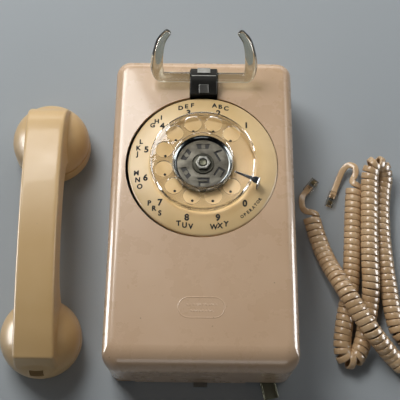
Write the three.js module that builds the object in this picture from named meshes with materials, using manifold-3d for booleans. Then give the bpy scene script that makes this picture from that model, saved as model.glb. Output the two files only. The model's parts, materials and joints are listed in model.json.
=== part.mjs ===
// Rotary wall phone: housing with dial, fork hook and ringer, its handset and its curly cord.
// Millimetres, +Z up. The phone lies on its back: the wall side of the base plate is z = 0,
// +Y runs to the phone's top and +X to its right. The origin is the centre of the wall side.
import * as THREE from 'three'
import { mergeVertices } from 'three/addons/utils/BufferGeometryUtils.js'
import Module from 'manifold-3d'

const manifoldLibrary = await Module()
manifoldLibrary.setup()

// ---- driving dimensions ------------------------------------------------------------------

const gap = 0.3 // between pieces that touch
const sheet = 1.6 // steel plate of brackets and frames

// housing
const housingLength = 234
const housingWidthTop = 131
const housingWidthBottom = 134.5
const housingDepthMiddle = 64 // height of the face over the wall, half way up
const faceTilt = THREE.MathUtils.degToRad(4.5) // the face leans back towards the top
const housingWall = 2.6
const planRadius = 11 // corners seen from the front
const edgeRadius = 7.5 // round between the face and the side walls
const bottomEdgeRadius = 16 // larger round between the face and the bottom wall

// dial
const dialY = 31 // centre of the dial over the middle of the housing
const plateRadius = 54
const plateGap = 1.1 // black shadow gap round the number plate
const plateRidge = 2.4 // ridge round the wheel, over the number plate's rim
const plateDip = 1.1 // middle of the number plate under its rim
const plateThickness = 1.8
const wheelRadius = 38
const wheelThickness = 2.5
const wheelTop = 11.2 // over the face, in the dial's own frame
const holeCount = 10
const holePitch = 30 // degrees
const firstHoleAngle = 45 // degrees clockwise from the top, the hole of the digit 1
const holeRadius = 6.4
const holeCircleRadius = 28.8
const hubRadius = 22
const hubBottom = 2.2 // the hub is sunk under the middle of the clear wheel
const nutRadius = 5.4
const shaftRadius = 2.5
const shaftClearance = 0.3
const stopAngle = 113 // degrees clockwise from the top
const stopWidth = 5

// dial mechanism
const frameRadius = 46
const frameTop = -4.4 // in the dial's own frame
const backPlateDepth = 30 // of the rear train plate under the face
const gearModule = 1
const mainTeeth = 42
const camTeeth = 14
const governorTeeth = 10
const gearTop = -20
const gearThickness = 2

// hook
const hookPivotY = 90
const hookPivotZ = 34
const slotWidth = 20.8
const slotTopY = 108.3
const leverWidth = 19.4
const pinRadius = 2
const forkDiameter = 7
const forkHalfWidth = 35.3
const forkBarY = 99.3
const forkBarRise = 7 // middle of the fork's bar over the face

// ringer
const gongRadius = 26
const gongSpacing = 58
const gongY = -62
const gongTop = 34

// handset
const handsetX = -117
const receiverY = 64
const transmitterY = -88
const cupRadius = 29.3
const cupTilt = THREE.MathUtils.degToRad(8)
const capHeight = 11
const handleWidth = 27.5
const handleHeight = 61.5

// cord
const curlDiameter = 13.6 // outside of the coiled stretch
const flatCordDiameter = 4.4

// ---- shaping helpers ---------------------------------------------------------------------

const faceSlope = Math.tan(faceTilt)
const faceHeight = y => housingDepthMiddle - faceSlope * y
const forkBarZ = faceHeight(forkBarY) + forkBarRise
const radians = THREE.MathUtils.degToRad

function shapeOf(points) {
  return new THREE.Shape(points.map(([x, y]) => new THREE.Vector2(x, y)))
}

// A closed outline of corners [x, y, radius], each rounded by a true arc.
function roundedOutline(corners) {
  const shape = new THREE.Shape()
  corners.forEach(([x, y, radius], i) => {
    const corner = new THREE.Vector2(x, y)
    const before = corners[(i + corners.length - 1) % corners.length]
    const after = corners[(i + 1) % corners.length]
    const back = new THREE.Vector2(before[0], before[1]).sub(corner).normalize()
    const ahead = new THREE.Vector2(after[0], after[1]).sub(corner).normalize()
    const half = Math.acos(back.dot(ahead)) / 2
    const start = corner.clone().addScaledVector(back, radius / Math.tan(half))
    const middle = back.clone().add(ahead).normalize().multiplyScalar(radius / Math.sin(half)).add(corner)
    const end = corner.clone().addScaledVector(ahead, radius / Math.tan(half))
    const startAngle = Math.atan2(start.y - middle.y, start.x - middle.x)
    const endAngle = Math.atan2(end.y - middle.y, end.x - middle.x)
    const clockwise = back.cross(ahead) > 0
    if (i === 0) shape.moveTo(start.x, start.y)
    else shape.lineTo(start.x, start.y)
    shape.absarc(middle.x, middle.y, radius, startAngle, endAngle, clockwise)
  })
  return shape
}

function circle(radius, x = 0, y = 0) {
  return new THREE.Path().absarc(x, y, radius, 0, 2 * Math.PI, true)
}

function plate(shape, thickness, segments = 6) {
  return new THREE.ExtrudeGeometry(shape, { depth: thickness, bevelEnabled: false, curveSegments: segments })
}

// Turns a profile drawn as (y, z) on its side, so that its depth runs along X.
const toSide = new THREE.Matrix4().makeBasis(
  new THREE.Vector3(0, 1, 0), new THREE.Vector3(0, 0, 1), new THREE.Vector3(1, 0, 0))

// A side profile drawn as (y, z) and made `width` wide, centred on x = 0.
function profileAlongX(shape, width, segments = 6) {
  return plate(shape, width, segments).translate(0, 0, -width / 2).applyMatrix4(toSide)
}

// A front profile drawn as (x, z) and made `length` long, centred on y = 0.
function profileAlongY(shape, length, segments = 6) {
  return plate(shape, length, segments).translate(0, 0, -length / 2).rotateX(Math.PI / 2)
}

function disc(radius, bottom, top, sides = 24) {
  const cylinder = new THREE.CylinderGeometry(radius, radius, top - bottom, sides)
  return cylinder.rotateX(Math.PI / 2).translate(0, 0, (bottom + top) / 2)
}

function ring(innerRadius, outerRadius, bottom, top, segments = 12) {
  const shape = new THREE.Shape().absarc(0, 0, outerRadius, 0, 2 * Math.PI)
  shape.holes.push(circle(innerRadius))
  return plate(shape, top - bottom, segments).translate(0, 0, bottom)
}

function box(width, depth, height, x, y, z) {
  return new THREE.BoxGeometry(width, depth, height).translate(x, y, z)
}

// A turned piece: points [radius, z] turned about Z. The profile may run either way round.
function turned(points, sides = 32) {
  const profile = points.map(([radius, z]) => new THREE.Vector2(radius, z))
  if (THREE.ShapeUtils.area(profile) < 0) profile.reverse()
  return new THREE.LatheGeometry(profile, sides).rotateX(Math.PI / 2)
}

// A coil spring's outer form, as a sleeve with one round groove between turns.
function springSleeve(innerRadius, outerRadius, bottom, top, turns) {
  const pitch = (top - bottom) / turns
  const groove = (outerRadius - innerRadius) / 3
  const outside = []
  for (let turn = 0; turn < turns; turn++) {
    const z = bottom + turn * pitch
    outside.push([outerRadius - groove, z], [outerRadius, z + pitch / 2])
  }
  outside.push([outerRadius - groove, top])
  const profile = [...outside, [innerRadius, top], [innerRadius, bottom], outside[0]]
  return turned(profile, 10)
}

function tubeAlong(curve, radius, sides, steps) {
  const section = new THREE.Shape()
  for (let side = 0; side < sides; side++) {
    const angle = 2 * Math.PI * side / sides
    const move = side === 0 ? 'moveTo' : 'lineTo'
    section[move](radius * Math.cos(angle), radius * Math.sin(angle))
  }
  return new THREE.ExtrudeGeometry(section, { steps, extrudePath: curve, bevelEnabled: false })
}

function curveThrough(points) {
  return new THREE.CatmullRomCurve3(points.map(point => new THREE.Vector3(...point)), false, 'centripetal')
}

// ---- joining and cutting -----------------------------------------------------------------

function solidOf(geometry) {
  const bare = geometry.index ? geometry.toNonIndexed() : geometry.clone()
  bare.deleteAttribute('normal')
  bare.deleteAttribute('uv')
  const merged = mergeVertices(bare, 1e-4)
  const mesh = new manifoldLibrary.Mesh({
    numProp: 3,
    vertProperties: new Float32Array(merged.attributes.position.array),
    triVerts: new Uint32Array(merged.index.array),
  })
  return new manifoldLibrary.Manifold(mesh)
}

function geometryOf(solid) {
  const mesh = solid.getMesh()
  const geometry = new THREE.BufferGeometry()
  geometry.setAttribute('position', new THREE.BufferAttribute(new Float32Array(mesh.vertProperties), 3))
  geometry.setIndex(new THREE.BufferAttribute(new Uint32Array(mesh.triVerts), 1))
  geometry.computeVertexNormals()
  return geometry
}

function cut(geometry, ...tools) {
  return geometryOf(tools.reduce((solid, tool) => solid.subtract(solidOf(tool)), solidOf(geometry)))
}

function join(geometry, ...others) {
  return geometryOf(others.reduce((solid, other) => solid.add(solidOf(other)), solidOf(geometry)))
}

function moveVertices(geometry, move) {
  const position = geometry.attributes.position
  for (let i = 0; i < position.count; i++) {
    position.setXYZ(i, ...move(position.getX(i), position.getY(i), position.getZ(i)))
  }
  return geometry
}

// ---- finishes ----------------------------------------------------------------------------

const finishes = {
  beigePlastic: { color: 0xcdb597, roughness: 0.25, metalness: 0 },
  handsetPlastic: { color: 0xd8bd8c, roughness: 0.3, metalness: 0 },
  dialPlastic: { color: 0xdcc595, roughness: 0.35, metalness: 0 },
  clearPlastic: { color: 0xe8e4d4, roughness: 0.08, metalness: 0, transparent: true, opacity: 0.4 },
  blackPlastic: { color: 0x1d1c1a, roughness: 0.5, metalness: 0 },
  greyPlastic: { color: 0x6f7276, roughness: 0.5, metalness: 0 },
  cordPlastic: { color: 0xb99b74, roughness: 0.35, metalness: 0 },
  steel: { color: 0x8d9092, roughness: 0.4, metalness: 1 },
  blackSteel: { color: 0x24231f, roughness: 0.35, metalness: 0.6 },
  chrome: { color: 0xc9ccd0, roughness: 0.12, metalness: 1 },
  brass: { color: 0xb59a55, roughness: 0.3, metalness: 1 },
  copper: { color: 0x7a3f22, roughness: 0.5, metalness: 0.5 },
}

function piece(name, finish, geometry) {
  const mesh = new THREE.Mesh(geometry, new THREE.MeshStandardMaterial(finishes[finish]))
  mesh.name = name
  return mesh
}

function groupOf(...meshes) {
  return new THREE.Group().add(...meshes.flat())
}

// ---- housing and base --------------------------------------------------------------------

const halfLength = housingLength / 2
const shadowGapRadius = plateRadius + plateGap
const jack = { x: -54.7, width: 12.4, height: 7.4, depth: 14, notchGap: 0.5 }
const leverExit = { x: 46, width: 26, height: 5.2 }
const lug = { width: 10, reach: 3.2, notchGap: 0.6 }

// What the large round at the bottom takes off the square front corner of the housing.
function bottomCorner(inset) {
  const radius = bottomEdgeRadius - inset
  const proud = 0.02 // the round ends just outside the flat faces, so that it crosses them cleanly
  const wall = inset - halfLength - proud
  const centreY = wall + radius
  const centreZ = faceHeight(centreY) - inset - radius / Math.cos(faceTilt) + proud
  const beyond = 20
  const shape = new THREE.Shape()
  shape.moveTo(wall - beyond, centreZ)
  shape.lineTo(wall, centreZ)
  shape.absarc(centreY, centreZ, radius, Math.PI, Math.PI / 2 - faceTilt, true)
  shape.lineTo(centreY + radius * Math.sin(faceTilt), centreZ + radius + beyond)
  shape.lineTo(wall - beyond, centreZ + radius + beyond)
  return profileAlongX(shape, housingWidthBottom + beyond, 6)
}

// Outside form of the housing with a level face, or its hollow when `inset` is a wall thickness.
function housingForm(inset) {
  const halfTop = housingWidthTop / 2 - inset
  const halfBottom = housingWidthBottom / 2 - inset
  const end = halfLength - inset
  const radius = planRadius - inset
  const round = edgeRadius - inset
  const plan = roundedOutline([
    [-halfBottom, -end, radius], [halfBottom, -end, radius], [halfTop, end, radius], [-halfTop, end, radius],
  ])
  const straight = housingDepthMiddle + 12
  const block = new THREE.ExtrudeGeometry(plan, {
    depth: straight, curveSegments: 5, bevelSegments: 5,
    bevelSize: round, bevelThickness: round, bevelOffset: -round,
  })
  block.translate(0, 0, housingDepthMiddle - inset - straight - round)
  return cut(block, levelled(bottomCorner(inset)))
}

// The housing is cut with its face level, and then its face is leaned back as one.
function levelled(geometry) {
  return moveVertices(geometry, (x, y, z) => [x, y, z + faceSlope * y])
}

function leanedBack(geometry) {
  return moveVertices(geometry, (x, y, z) => [x, y, z - faceSlope * y])
}

function inDialFrame(geometry) {
  return geometry.rotateX(-faceTilt).translate(0, dialY, faceHeight(dialY))
}

function housing() {
  const slotBottomY = dialY + plateRadius / 2
  const cutHeight = 60
  const openings = [
    box(2 * housingWidthBottom, 2 * housingLength, cutHeight, 0, 0, -cutHeight / 2),
    inDialFrame(disc(shadowGapRadius, -15, 10, 56)),
    box(slotWidth, slotTopY - slotBottomY, cutHeight,
      0, (slotTopY + slotBottomY) / 2, faceHeight(slotTopY) - edgeRadius + cutHeight / 2),
    box(jack.width + 2 * jack.notchGap, 10, 2 * (sheet + gap + jack.height + jack.notchGap),
      jack.x, -halfLength, 0),
    box(leverExit.width, 10, 2 * leverExit.height, leverExit.x, -halfLength, 0),
    box(lug.width + 2 * lug.notchGap, 10, 2 * (sheet + lug.notchGap), 0, -halfLength, 0),
  ]
  const shell = cut(housingForm(0), housingForm(housingWall), ...openings.map(levelled))
  return piece('housing', 'beigePlastic', leanedBack(shell))
}

const keyhole = { upperY: 69, lowerY: -96, headRadius: 5, slotRadius: 2.6, drop: 9 }
const cableHole = { y: -10, width: 34, height: 14 }
const baseInset = housingWall + 0.6
const baseHalfLength = halfLength - baseInset

// A keyhole with its round head at `y` and its slot above it.
function keyholeCut(y) {
  const slot = keyhole.slotRadius
  return join(
    disc(keyhole.headRadius, -1, sheet + 1, 20).translate(0, y, 0),
    box(2 * slot, keyhole.drop, sheet + 2, 0, y + keyhole.drop / 2, sheet / 2),
    disc(slot, -1, sheet + 1, 16).translate(0, y + keyhole.drop, 0),
  )
}

function basePlate() {
  const halfTop = housingWidthTop / 2 - baseInset
  const halfBottom = housingWidthBottom / 2 - baseInset
  const outline = roundedOutline([
    [-halfBottom, -baseHalfLength, planRadius - baseInset],
    [halfBottom, -baseHalfLength, planRadius - baseInset],
    [halfTop, baseHalfLength, planRadius - baseInset], [-halfTop, baseHalfLength, planRadius - baseInset],
  ])
  const flange = { width: 60, height: 9 }
  const lugLength = baseInset + lug.reach + 5
  return piece('base_plate', 'steel', cut(
    join(
      plate(outline, sheet),
      box(flange.width, sheet, flange.height, 0, baseHalfLength - sheet / 2, flange.height / 2),
      box(lug.width, lugLength, sheet, 0, -halfLength - lug.reach + lugLength / 2, sheet / 2),
    ),
    keyholeCut(keyhole.upperY),
    keyholeCut(keyhole.lowerY),
    box(cableHole.width, cableHole.height, 4 * sheet, 0, cableHole.y, 0),
  ))
}

function handsetJack() {
  const bottom = sheet + gap
  const front = -halfLength + 0.4
  const socket = { width: 6.9, height: 5.2, depth: 10 }
  return piece('handset_jack', 'beigePlastic', cut(
    box(jack.width, jack.depth, jack.height, jack.x, front + jack.depth / 2, bottom + jack.height / 2),
    box(socket.width, 2 * socket.depth, socket.height, jack.x, front, bottom + jack.height / 2),
  ))
}

const network = { width: 56, length: 46, height: 22, y: 34 }

function networkBlock() {
  const bottom = sheet + gap
  const terminals = []
  for (const side of [-1, 1]) {
    for (let i = 0; i < 4; i++) {
      terminals.push(disc(2.4, network.height - 1, network.height + 1.2, 6)
        .translate(side * (network.width / 2 - 6), network.y + (i - 1.5) * 10, bottom))
    }
  }
  return piece('network_block', 'greyPlastic', join(
    box(network.width, network.length, network.height, 0, network.y, bottom + network.height / 2),
    ...terminals,
  ))
}

// ---- dial, drawn in its own frame: z = 0 is the housing's face -----------------------------

// A point on a circle round the dial, at an angle clockwise from the top.
function aroundDial(radius, clockwise) {
  const angle = radians(90 - clockwise)
  return [radius * Math.cos(angle), radius * Math.sin(angle)]
}

const holeAngles = Array.from({ length: holeCount }, (_, i) => firstHoleAngle - i * holePitch)
const plateRim = 0.6
const skirtBottom = -2.5
const stop = { inner: 24.4, foot: 43.2, thickness: 1.3, bottom: wheelTop + 0.4 }

function numberPlate() {
  const middle = plateRim - plateDip
  const ridge = plateRim + plateRidge
  const dishRadius = wheelRadius - 1.5
  const rimInner = plateRadius - 1
  const footprint = [stop.foot - stop.thickness - 0.6, stop.foot + 0.6]
  const slot = box(footprint[1] - footprint[0], stopWidth + 1.2, 12, (footprint[0] + footprint[1]) / 2, 0, 0)
  return piece('number_plate', 'dialPlastic', cut(
    turned([
      [nutRadius + 2, middle], [dishRadius, middle], [wheelRadius, ridge], [wheelRadius + 1.2, ridge],
      [rimInner, plateRim], [plateRadius, plateRim - 0.8], [plateRadius, skirtBottom], [rimInner - 1, skirtBottom],
      [rimInner - 1, plateRim - plateThickness], [wheelRadius + 1.6, ridge - plateThickness],
      [dishRadius + 1.4, middle - plateThickness], [nutRadius + 2, middle - plateThickness],
      [nutRadius + 2, middle],
    ], 56),
    slot.rotateZ(radians(90 - stopAngle)),
  ))
}

function fingerWheel() {
  const shape = new THREE.Shape().absarc(0, 0, wheelRadius, 0, 2 * Math.PI)
  for (const angle of holeAngles) shape.holes.push(circle(holeRadius, ...aroundDial(holeCircleRadius, angle)))
  shape.holes.push(circle(shaftRadius + gap))
  const wheel = plate(shape, wheelThickness, 10)
  return piece('finger_wheel', 'clearPlastic', wheel.translate(0, 0, wheelTop - wheelThickness))
}

const hubPlateRadius = hubRadius - 1.6
const windowCount = 6

function hubPlate() {
  const shape = new THREE.Shape().absarc(0, 0, hubPlateRadius, 0, 2 * Math.PI)
  shape.holes.push(circle(shaftRadius + gap))
  for (let i = 0; i < windowCount; i++) {
    const turn = new THREE.Vector2()
    const corners = [[-2.6, 12.2], [2.6, 12.2], [3.6, 15.2], [-3.6, 15.2]]
    const hole = new THREE.Path(corners.map(([x, y]) =>
      new THREE.Vector2(x, y).rotateAround(turn, 2 * Math.PI * i / windowCount)).reverse())
    shape.holes.push(hole)
  }
  return piece('hub_plate', 'steel', plate(shape, 0.8, 12).translate(0, 0, hubBottom))
}

// The ring round the hub plate stands up to the wheel and carries it.
function hubRim() {
  const inner = hubPlateRadius + gap
  const top = wheelTop - wheelThickness - gap
  return piece('hub_rim', 'chrome', turned([
    [inner, hubBottom], [hubRadius, hubBottom], [hubRadius, top - 0.4], [hubRadius - 0.4, top], [inner, top],
    [inner, hubBottom],
  ], 40))
}

function hubWasher() {
  const bottom = hubBottom + 0.8 + gap
  return piece('hub_washer', 'blackSteel', ring(shaftRadius + gap, 8, bottom, bottom + 0.6, 10))
}

const nutBottom = hubBottom + 0.8 + gap + 0.6 + gap
const nutHeight = 1.8

function dialNut() {
  const hexagon = new THREE.Shape()
  for (let corner = 0; corner < 6; corner++) {
    const angle = corner * Math.PI / 3
    hexagon[corner ? 'lineTo' : 'moveTo'](nutRadius * Math.cos(angle), nutRadius * Math.sin(angle))
  }
  hexagon.holes.push(circle(shaftRadius + gap))
  return piece('dial_nut', 'steel', plate(hexagon, nutHeight).translate(0, 0, nutBottom))
}

function dialShaft() {
  return piece('dial_shaft', 'steel', disc(shaftRadius, -backPlateDepth - 1, nutBottom + nutHeight + 0.8, 20))
}

function fingerStop() {
  const { inner, foot, thickness, bottom } = stop
  const top = bottom + thickness
  const profile = shapeOf([
    [inner, bottom], [foot - thickness, bottom], [foot - thickness, frameTop + gap], [foot, frameTop + gap],
    [foot, top - 1], [foot - 1, top], [inner + 2, top],
  ])
  return piece('finger_stop', 'chrome', profileAlongY(profile, stopWidth).rotateZ(radians(90 - stopAngle)))
}

// A spur gear with narrow straight teeth, so that its teeth pass with free play.
function gearOutline(teeth, boreRadius) {
  const pitchRadius = gearModule * teeth / 2
  const tip = pitchRadius + 0.75 * gearModule
  const root = pitchRadius - 1.1 * gearModule
  const tipHalf = 0.22 * gearModule / tip
  const rootHalf = 0.75 * gearModule / root
  const shape = new THREE.Shape()
  for (let tooth = 0; tooth < teeth; tooth++) {
    const middle = 2 * Math.PI * tooth / teeth
    const edges = [[root, -rootHalf], [tip, -tipHalf], [tip, tipHalf], [root, rootHalf]]
    edges.forEach(([radius, turn], i) => {
      const move = tooth === 0 && i === 0 ? 'moveTo' : 'lineTo'
      shape[move](radius * Math.cos(middle + turn), radius * Math.sin(middle + turn))
    })
  }
  shape.holes.push(circle(boreRadius))
  return shape
}

const gearBottom = gearTop - gearThickness
const camDistance = gearModule * (mainTeeth + camTeeth) / 2
const governorDistance = gearModule * (mainTeeth + governorTeeth) / 2
const camPlace = [0, -camDistance]
const governorPlace = [0, governorDistance]
const camSpindleRadius = 1.5
const governorSpindleRadius = 1.2
const gearBore = 0.5 // of the small gears, filled by their spindles

function mainGear() {
  return piece('main_gear', 'brass',
    plate(gearOutline(mainTeeth, shaftRadius + gap), gearThickness, 8).translate(0, 0, gearBottom))
}

// Both small gears start half a tooth round, so that a tooth of one faces a space of the other.
function pulseCam() {
  const lobes = 4
  const rise = 1
  const camRadius = 6
  const cam = new THREE.Shape()
  const steps = 32
  for (let i = 0; i < steps; i++) {
    const angle = 2 * Math.PI * i / steps
    const radius = camRadius + rise * Math.cos(lobes * angle)
    cam[i ? 'lineTo' : 'moveTo'](radius * Math.cos(angle), radius * Math.sin(angle))
  }
  const gear = plate(gearOutline(camTeeth, gearBore), gearThickness)
    .rotateZ(Math.PI / 2 + meshTurn(-Math.PI / 2, camTeeth)).translate(0, 0, gearBottom)
  return piece('pulse_cam', 'brass', join(
    gear,
    disc(4, gearTop - 0.5, gearTop + 1, 12),
    plate(cam, 2).translate(0, 0, gearTop + gap),
    disc(camSpindleRadius, -backPlateDepth - 1, frameTop + 0.8, 14),
  ).translate(...camPlace, 0))
}

// Turn of a small gear that lies at `direction` from the main gear, so that its teeth meet spaces.
function meshTurn(direction, teeth) {
  const mainPitch = 2 * Math.PI / mainTeeth
  const phase = ((direction / mainPitch) % 1 + 1) % 1
  return (0.5 - phase) * 2 * Math.PI / teeth
}

const weight = { inner: 2.4, outer: 6.4, height: 5, bottom: -15.5 }

function governor() {
  const gear = plate(gearOutline(governorTeeth, gearBore), gearThickness)
    .rotateZ(-Math.PI / 2 + meshTurn(Math.PI / 2, governorTeeth)).translate(0, 0, gearBottom)
  const armBottom = weight.bottom - gap - 1
  return piece('governor', 'brass', join(
    gear,
    disc(governorSpindleRadius, -backPlateDepth - 1, frameTop + 0.8, 12),
    box(2 * weight.outer, 3, 1, 0, 0, armBottom + 0.5),
  ).translate(...governorPlace, 0))
}

function governorWeight(name, side) {
  const half = new THREE.Shape()
  half.absarc(0, 0, weight.outer, radians(-60), radians(60), false)
  half.absarc(0, 0, weight.inner, radians(60), radians(-60), true)
  const turn = side > 0 ? 0 : Math.PI
  return piece(name, 'brass', plate(half, weight.height, 5)
    .rotateZ(turn).translate(governorPlace[0], governorPlace[1], weight.bottom))
}

function governorCup() {
  const inner = weight.outer + 1.2
  return piece('governor_cup', 'steel', ring(inner, inner + 1.2, weight.bottom - 1, frameTop - sheet - gap, 8)
    .translate(...governorPlace, 0))
}

const bracket = { reach: 7, footLength: 10, width: 36 }
const earX = frameRadius - 3.5

function dialFrame() {
  const bottom = frameTop - sheet
  const lugHeight = skirtBottom - gap - frameTop
  const lugs = [45, 135, 225, 315].map(turn =>
    box(9, 8, sheet + lugHeight, frameRadius + 2.4, 0, bottom + (sheet + lugHeight) / 2).rotateZ(radians(turn)))
  const hole = (radius, x, y) => disc(radius, bottom - 1, frameTop + 1, 14).translate(x, y, 0)
  const screwHoles = [-1, 1].map(side => hole(2.1, side * earX, 0))
  return piece('dial_frame', 'steel', cut(
    join(disc(frameRadius, bottom, frameTop, 40), ...lugs),
    hole(shaftRadius + 1.6 + gap, 0, 0),
    hole(camSpindleRadius + gap, ...camPlace),
    hole(governorSpindleRadius + gap, ...governorPlace),
    ...screwHoles,
  ))
}

function dialBush() {
  return piece('dial_bush', 'brass', ring(shaftRadius + shaftClearance, shaftRadius + 1.6, -18, frameTop + 1, 8))
}

function mainSpring() {
  const top = frameTop - sheet - 1
  return piece('main_spring', 'steel', springSleeve(shaftRadius + 2, shaftRadius + 5, -17.5, top, 5))
}

function trainPlate() {
  const bottom = -backPlateDepth - sheet
  const outline = roundedOutline([[-16, -34, 6], [16, -34, 6], [16, 34, 6], [-16, 34, 6]])
  const pillarX = 12.5
  const pillarY = 24
  const pillars = []
  for (const x of [-pillarX, pillarX]) {
    for (const y of [-pillarY, pillarY]) {
      pillars.push(disc(1.8, bottom + 0.5, frameTop - sheet - gap, 10).translate(x, y, 0))
    }
  }
  const hole = (radius, x, y) => disc(radius, bottom - 1, -backPlateDepth + 1, 14).translate(x, y, 0)
  return piece('train_plate', 'steel', cut(
    join(plate(outline, sheet).translate(0, 0, bottom), ...pillars),
    hole(shaftRadius + gap, 0, 0),
    hole(camSpindleRadius + gap, ...camPlace),
    hole(governorSpindleRadius + gap, ...governorPlace),
  ))
}

function pulseContacts() {
  const cup = { x: 20, y: -camDistance - 4 }
  const blades = [0, 1, 2].map(i => box(13, 4, 0.5, cup.x - 8, cup.y, gearTop + 3.6 + i * 2.2))
  return piece('pulse_contacts', 'brass', join(
    box(6, 7, frameTop - sheet - gap - gearTop - 2, cup.x, cup.y, (frameTop - sheet - gap + gearTop + 2) / 2),
    ...blades,
  ))
}

// The bracket's top flange leans with the dial while its foot stays flat on the base plate.
function dialBracket(name, side) {
  const top = faceHeight(dialY) + (frameTop - sheet - gap) / Math.cos(faceTilt)
  const upright = frameRadius + 1
  const foot = sheet + gap
  const profile = shapeOf([
    [upright, foot], [upright + bracket.footLength, foot], [upright + bracket.footLength, foot + sheet],
    [upright + sheet, foot + sheet], [upright + sheet, top], [upright - bracket.reach, top],
    [upright - bracket.reach, top - sheet], [upright, top - sheet],
  ])
  const leaning = moveVertices(profileAlongY(profile, bracket.width), (x, y, z) =>
    [x, y, z > top / 2 ? z - faceSlope * y : z])
  const screwHole = disc(2.6, top - 8, top + 8, 12).translate(earX, (frameTop - sheet) * Math.sin(faceTilt), 0)
  const geometry = cut(leaning, screwHole).translate(0, dialY, 0)
  return piece(name, 'steel', side > 0 ? geometry : mirrored(geometry))
}

// Mirrors a piece in the plane x = 0 and turns its faces out again.
function mirrored(geometry) {
  const flipped = geometry.index ? geometry.toNonIndexed() : geometry.clone()
  const position = flipped.attributes.position
  const corner = (i, from) => [-from.getX(i), from.getY(i), from.getZ(i)]
  const source = position.clone()
  for (let i = 0; i < position.count; i += 3) {
    position.setXYZ(i, ...corner(i, source))
    position.setXYZ(i + 1, ...corner(i + 2, source))
    position.setXYZ(i + 2, ...corner(i + 1, source))
  }
  flipped.computeVertexNormals()
  return flipped
}

function screw(name, finish, headRadius, shankRadius, headTop, bottom, headHeight = 1.8) {
  const underHead = headTop - headHeight
  const slot = box(2.4 * headRadius, 0.8, 1.2, 0, 0, headTop)
  return piece(name, finish, cut(
    turned([[0, bottom], [shankRadius, bottom], [shankRadius, underHead], [headRadius, underHead],
      [headRadius, headTop - 0.4], [headRadius - 0.6, headTop], [0, headTop]], 14),
    slot,
  ))
}

function dialScrew(name, side) {
  const headHeight = 1.2
  const mesh = screw(name, 'steel', 3, 1.6, frameTop + gap + headHeight, frameTop - 3 * sheet - 2, headHeight)
  mesh.position.x = side * earX
  return mesh
}

function dial() {
  const group = groupOf(
    numberPlate(), fingerWheel(), hubPlate(), hubRim(), hubWasher(), dialNut(), dialShaft(), fingerStop(),
    dialFrame(), dialBush(), mainSpring(), mainGear(), pulseCam(), governor(),
    governorWeight('governor_weight_left', -1), governorWeight('governor_weight_right', 1), governorCup(),
    trainPlate(), pulseContacts(), dialScrew('dial_screw_left', -1), dialScrew('dial_screw_right', 1),
  )
  group.position.set(0, dialY, faceHeight(dialY))
  group.rotation.x = -faceTilt
  return group
}

// ---- hook --------------------------------------------------------------------------------

function hookFork() {
  const half = [
    [0, 0, 0], [20, 0, 0], [forkHalfWidth - 6, 0, 0], [forkHalfWidth - 1.6, 0.8, 1.6], [forkHalfWidth, 3.2, 7],
    [forkHalfWidth - 0.8, 9.2, 16.8], [forkHalfWidth - 4.3, 16.2, 26.8], [forkHalfWidth - 9.3, 20.2, 32.3],
  ].map(([x, y, z]) => [x, forkBarY + y, forkBarZ + z])
  const otherHalf = half.slice(1).reverse().map(([x, y, z]) => [-x, y, z])
  const whole = curveThrough([...otherHalf, ...half])
  return piece('hook_fork', 'clearPlastic', tubeAlong(whole, forkDiameter / 2, 8, 38))
}

function hookLever() {
  const t = 2 // thickness of the bent strip
  const under = forkBarZ - forkDiameter / 2 - gap
  const profile = shapeOf([
    [slotTopY - 2, under], [96, under], [90.5 - t, under - 7], [hookPivotY - t, hookPivotZ + 3],
    [hookPivotY - 9, hookPivotZ - 8], [hookPivotY - 9, hookPivotZ - 8 - t],
    [hookPivotY - 8, hookPivotZ - 8 - t],
    [hookPivotY, hookPivotZ + 1.5 - t], [90.5, under - 8], [97, under - t], [slotTopY - 2, under - t],
  ])
  const across = geometry => geometry.rotateY(Math.PI / 2).translate(0, hookPivotY, hookPivotZ)
  return piece('hook_lever', 'blackSteel', cut(
    join(profileAlongX(profile, leverWidth), across(disc(4.4, -leverWidth / 2, leverWidth / 2, 20))),
    across(disc(pinRadius + gap, -leverWidth, leverWidth, 16)),
  ))
}

// Bent sheet over the fork's bar: down behind it and sloping down in front of it, with two notches at the back.
function forkClip() {
  const t = 1.1
  const inside = forkBarZ + forkDiameter / 2 + gap
  const back = forkBarY + forkDiameter / 2 + gap
  const front = forkBarY - forkDiameter / 2
  const profile = shapeOf([
    [back, inside - 7], [back + t, inside - 7], [back + t, inside + t], [front + 0.2, inside + t],
    [front - 3.7, inside - 0.4], [front - 9.8, inside - 4.9], [front - 9, inside - 5.7],
    [front - 3, inside - 1.4], [front + 0.5, inside], [back, inside],
  ])
  const notch = side => box(5, 2.4, 4, side * 7.4, back + t, inside + t)
  return piece('fork_clip', 'blackSteel', cut(profileAlongX(profile, leverWidth), notch(-1), notch(1)))
}

const ear = { x: 12, thickness: sheet, from: 82, to: 98, top: hookPivotZ + 6 }

function hookFrame() {
  const foot = sheet + gap
  const profile = shapeOf([
    [-ear.x - sheet, foot], [ear.x + sheet, foot], [ear.x + sheet, ear.top], [ear.x, ear.top],
    [ear.x, foot + sheet], [-ear.x, foot + sheet], [-ear.x, ear.top], [-ear.x - sheet, ear.top],
  ])
  const pinHole = disc(pinRadius + gap, -20, 20, 16).rotateY(Math.PI / 2).translate(0, hookPivotY, hookPivotZ)
  const frame = profileAlongY(profile, ear.to - ear.from).translate(0, (ear.from + ear.to) / 2, 0)
  return piece('hook_frame', 'steel', cut(frame, pinHole))
}

function hookPin() {
  const half = ear.x + sheet + 1.4
  return piece('hook_pin', 'steel',
    disc(pinRadius, -half, half, 16).rotateY(Math.PI / 2).translate(0, hookPivotY, hookPivotZ))
}

function hookSpring() {
  const bottom = 2 * (sheet + gap)
  const top = hookPivotZ - 10 - gap
  return piece('hook_spring', 'steel', springSleeve(1.6, 3.2, bottom, top, 6).translate(0, hookPivotY - 6, 0))
}

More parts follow.
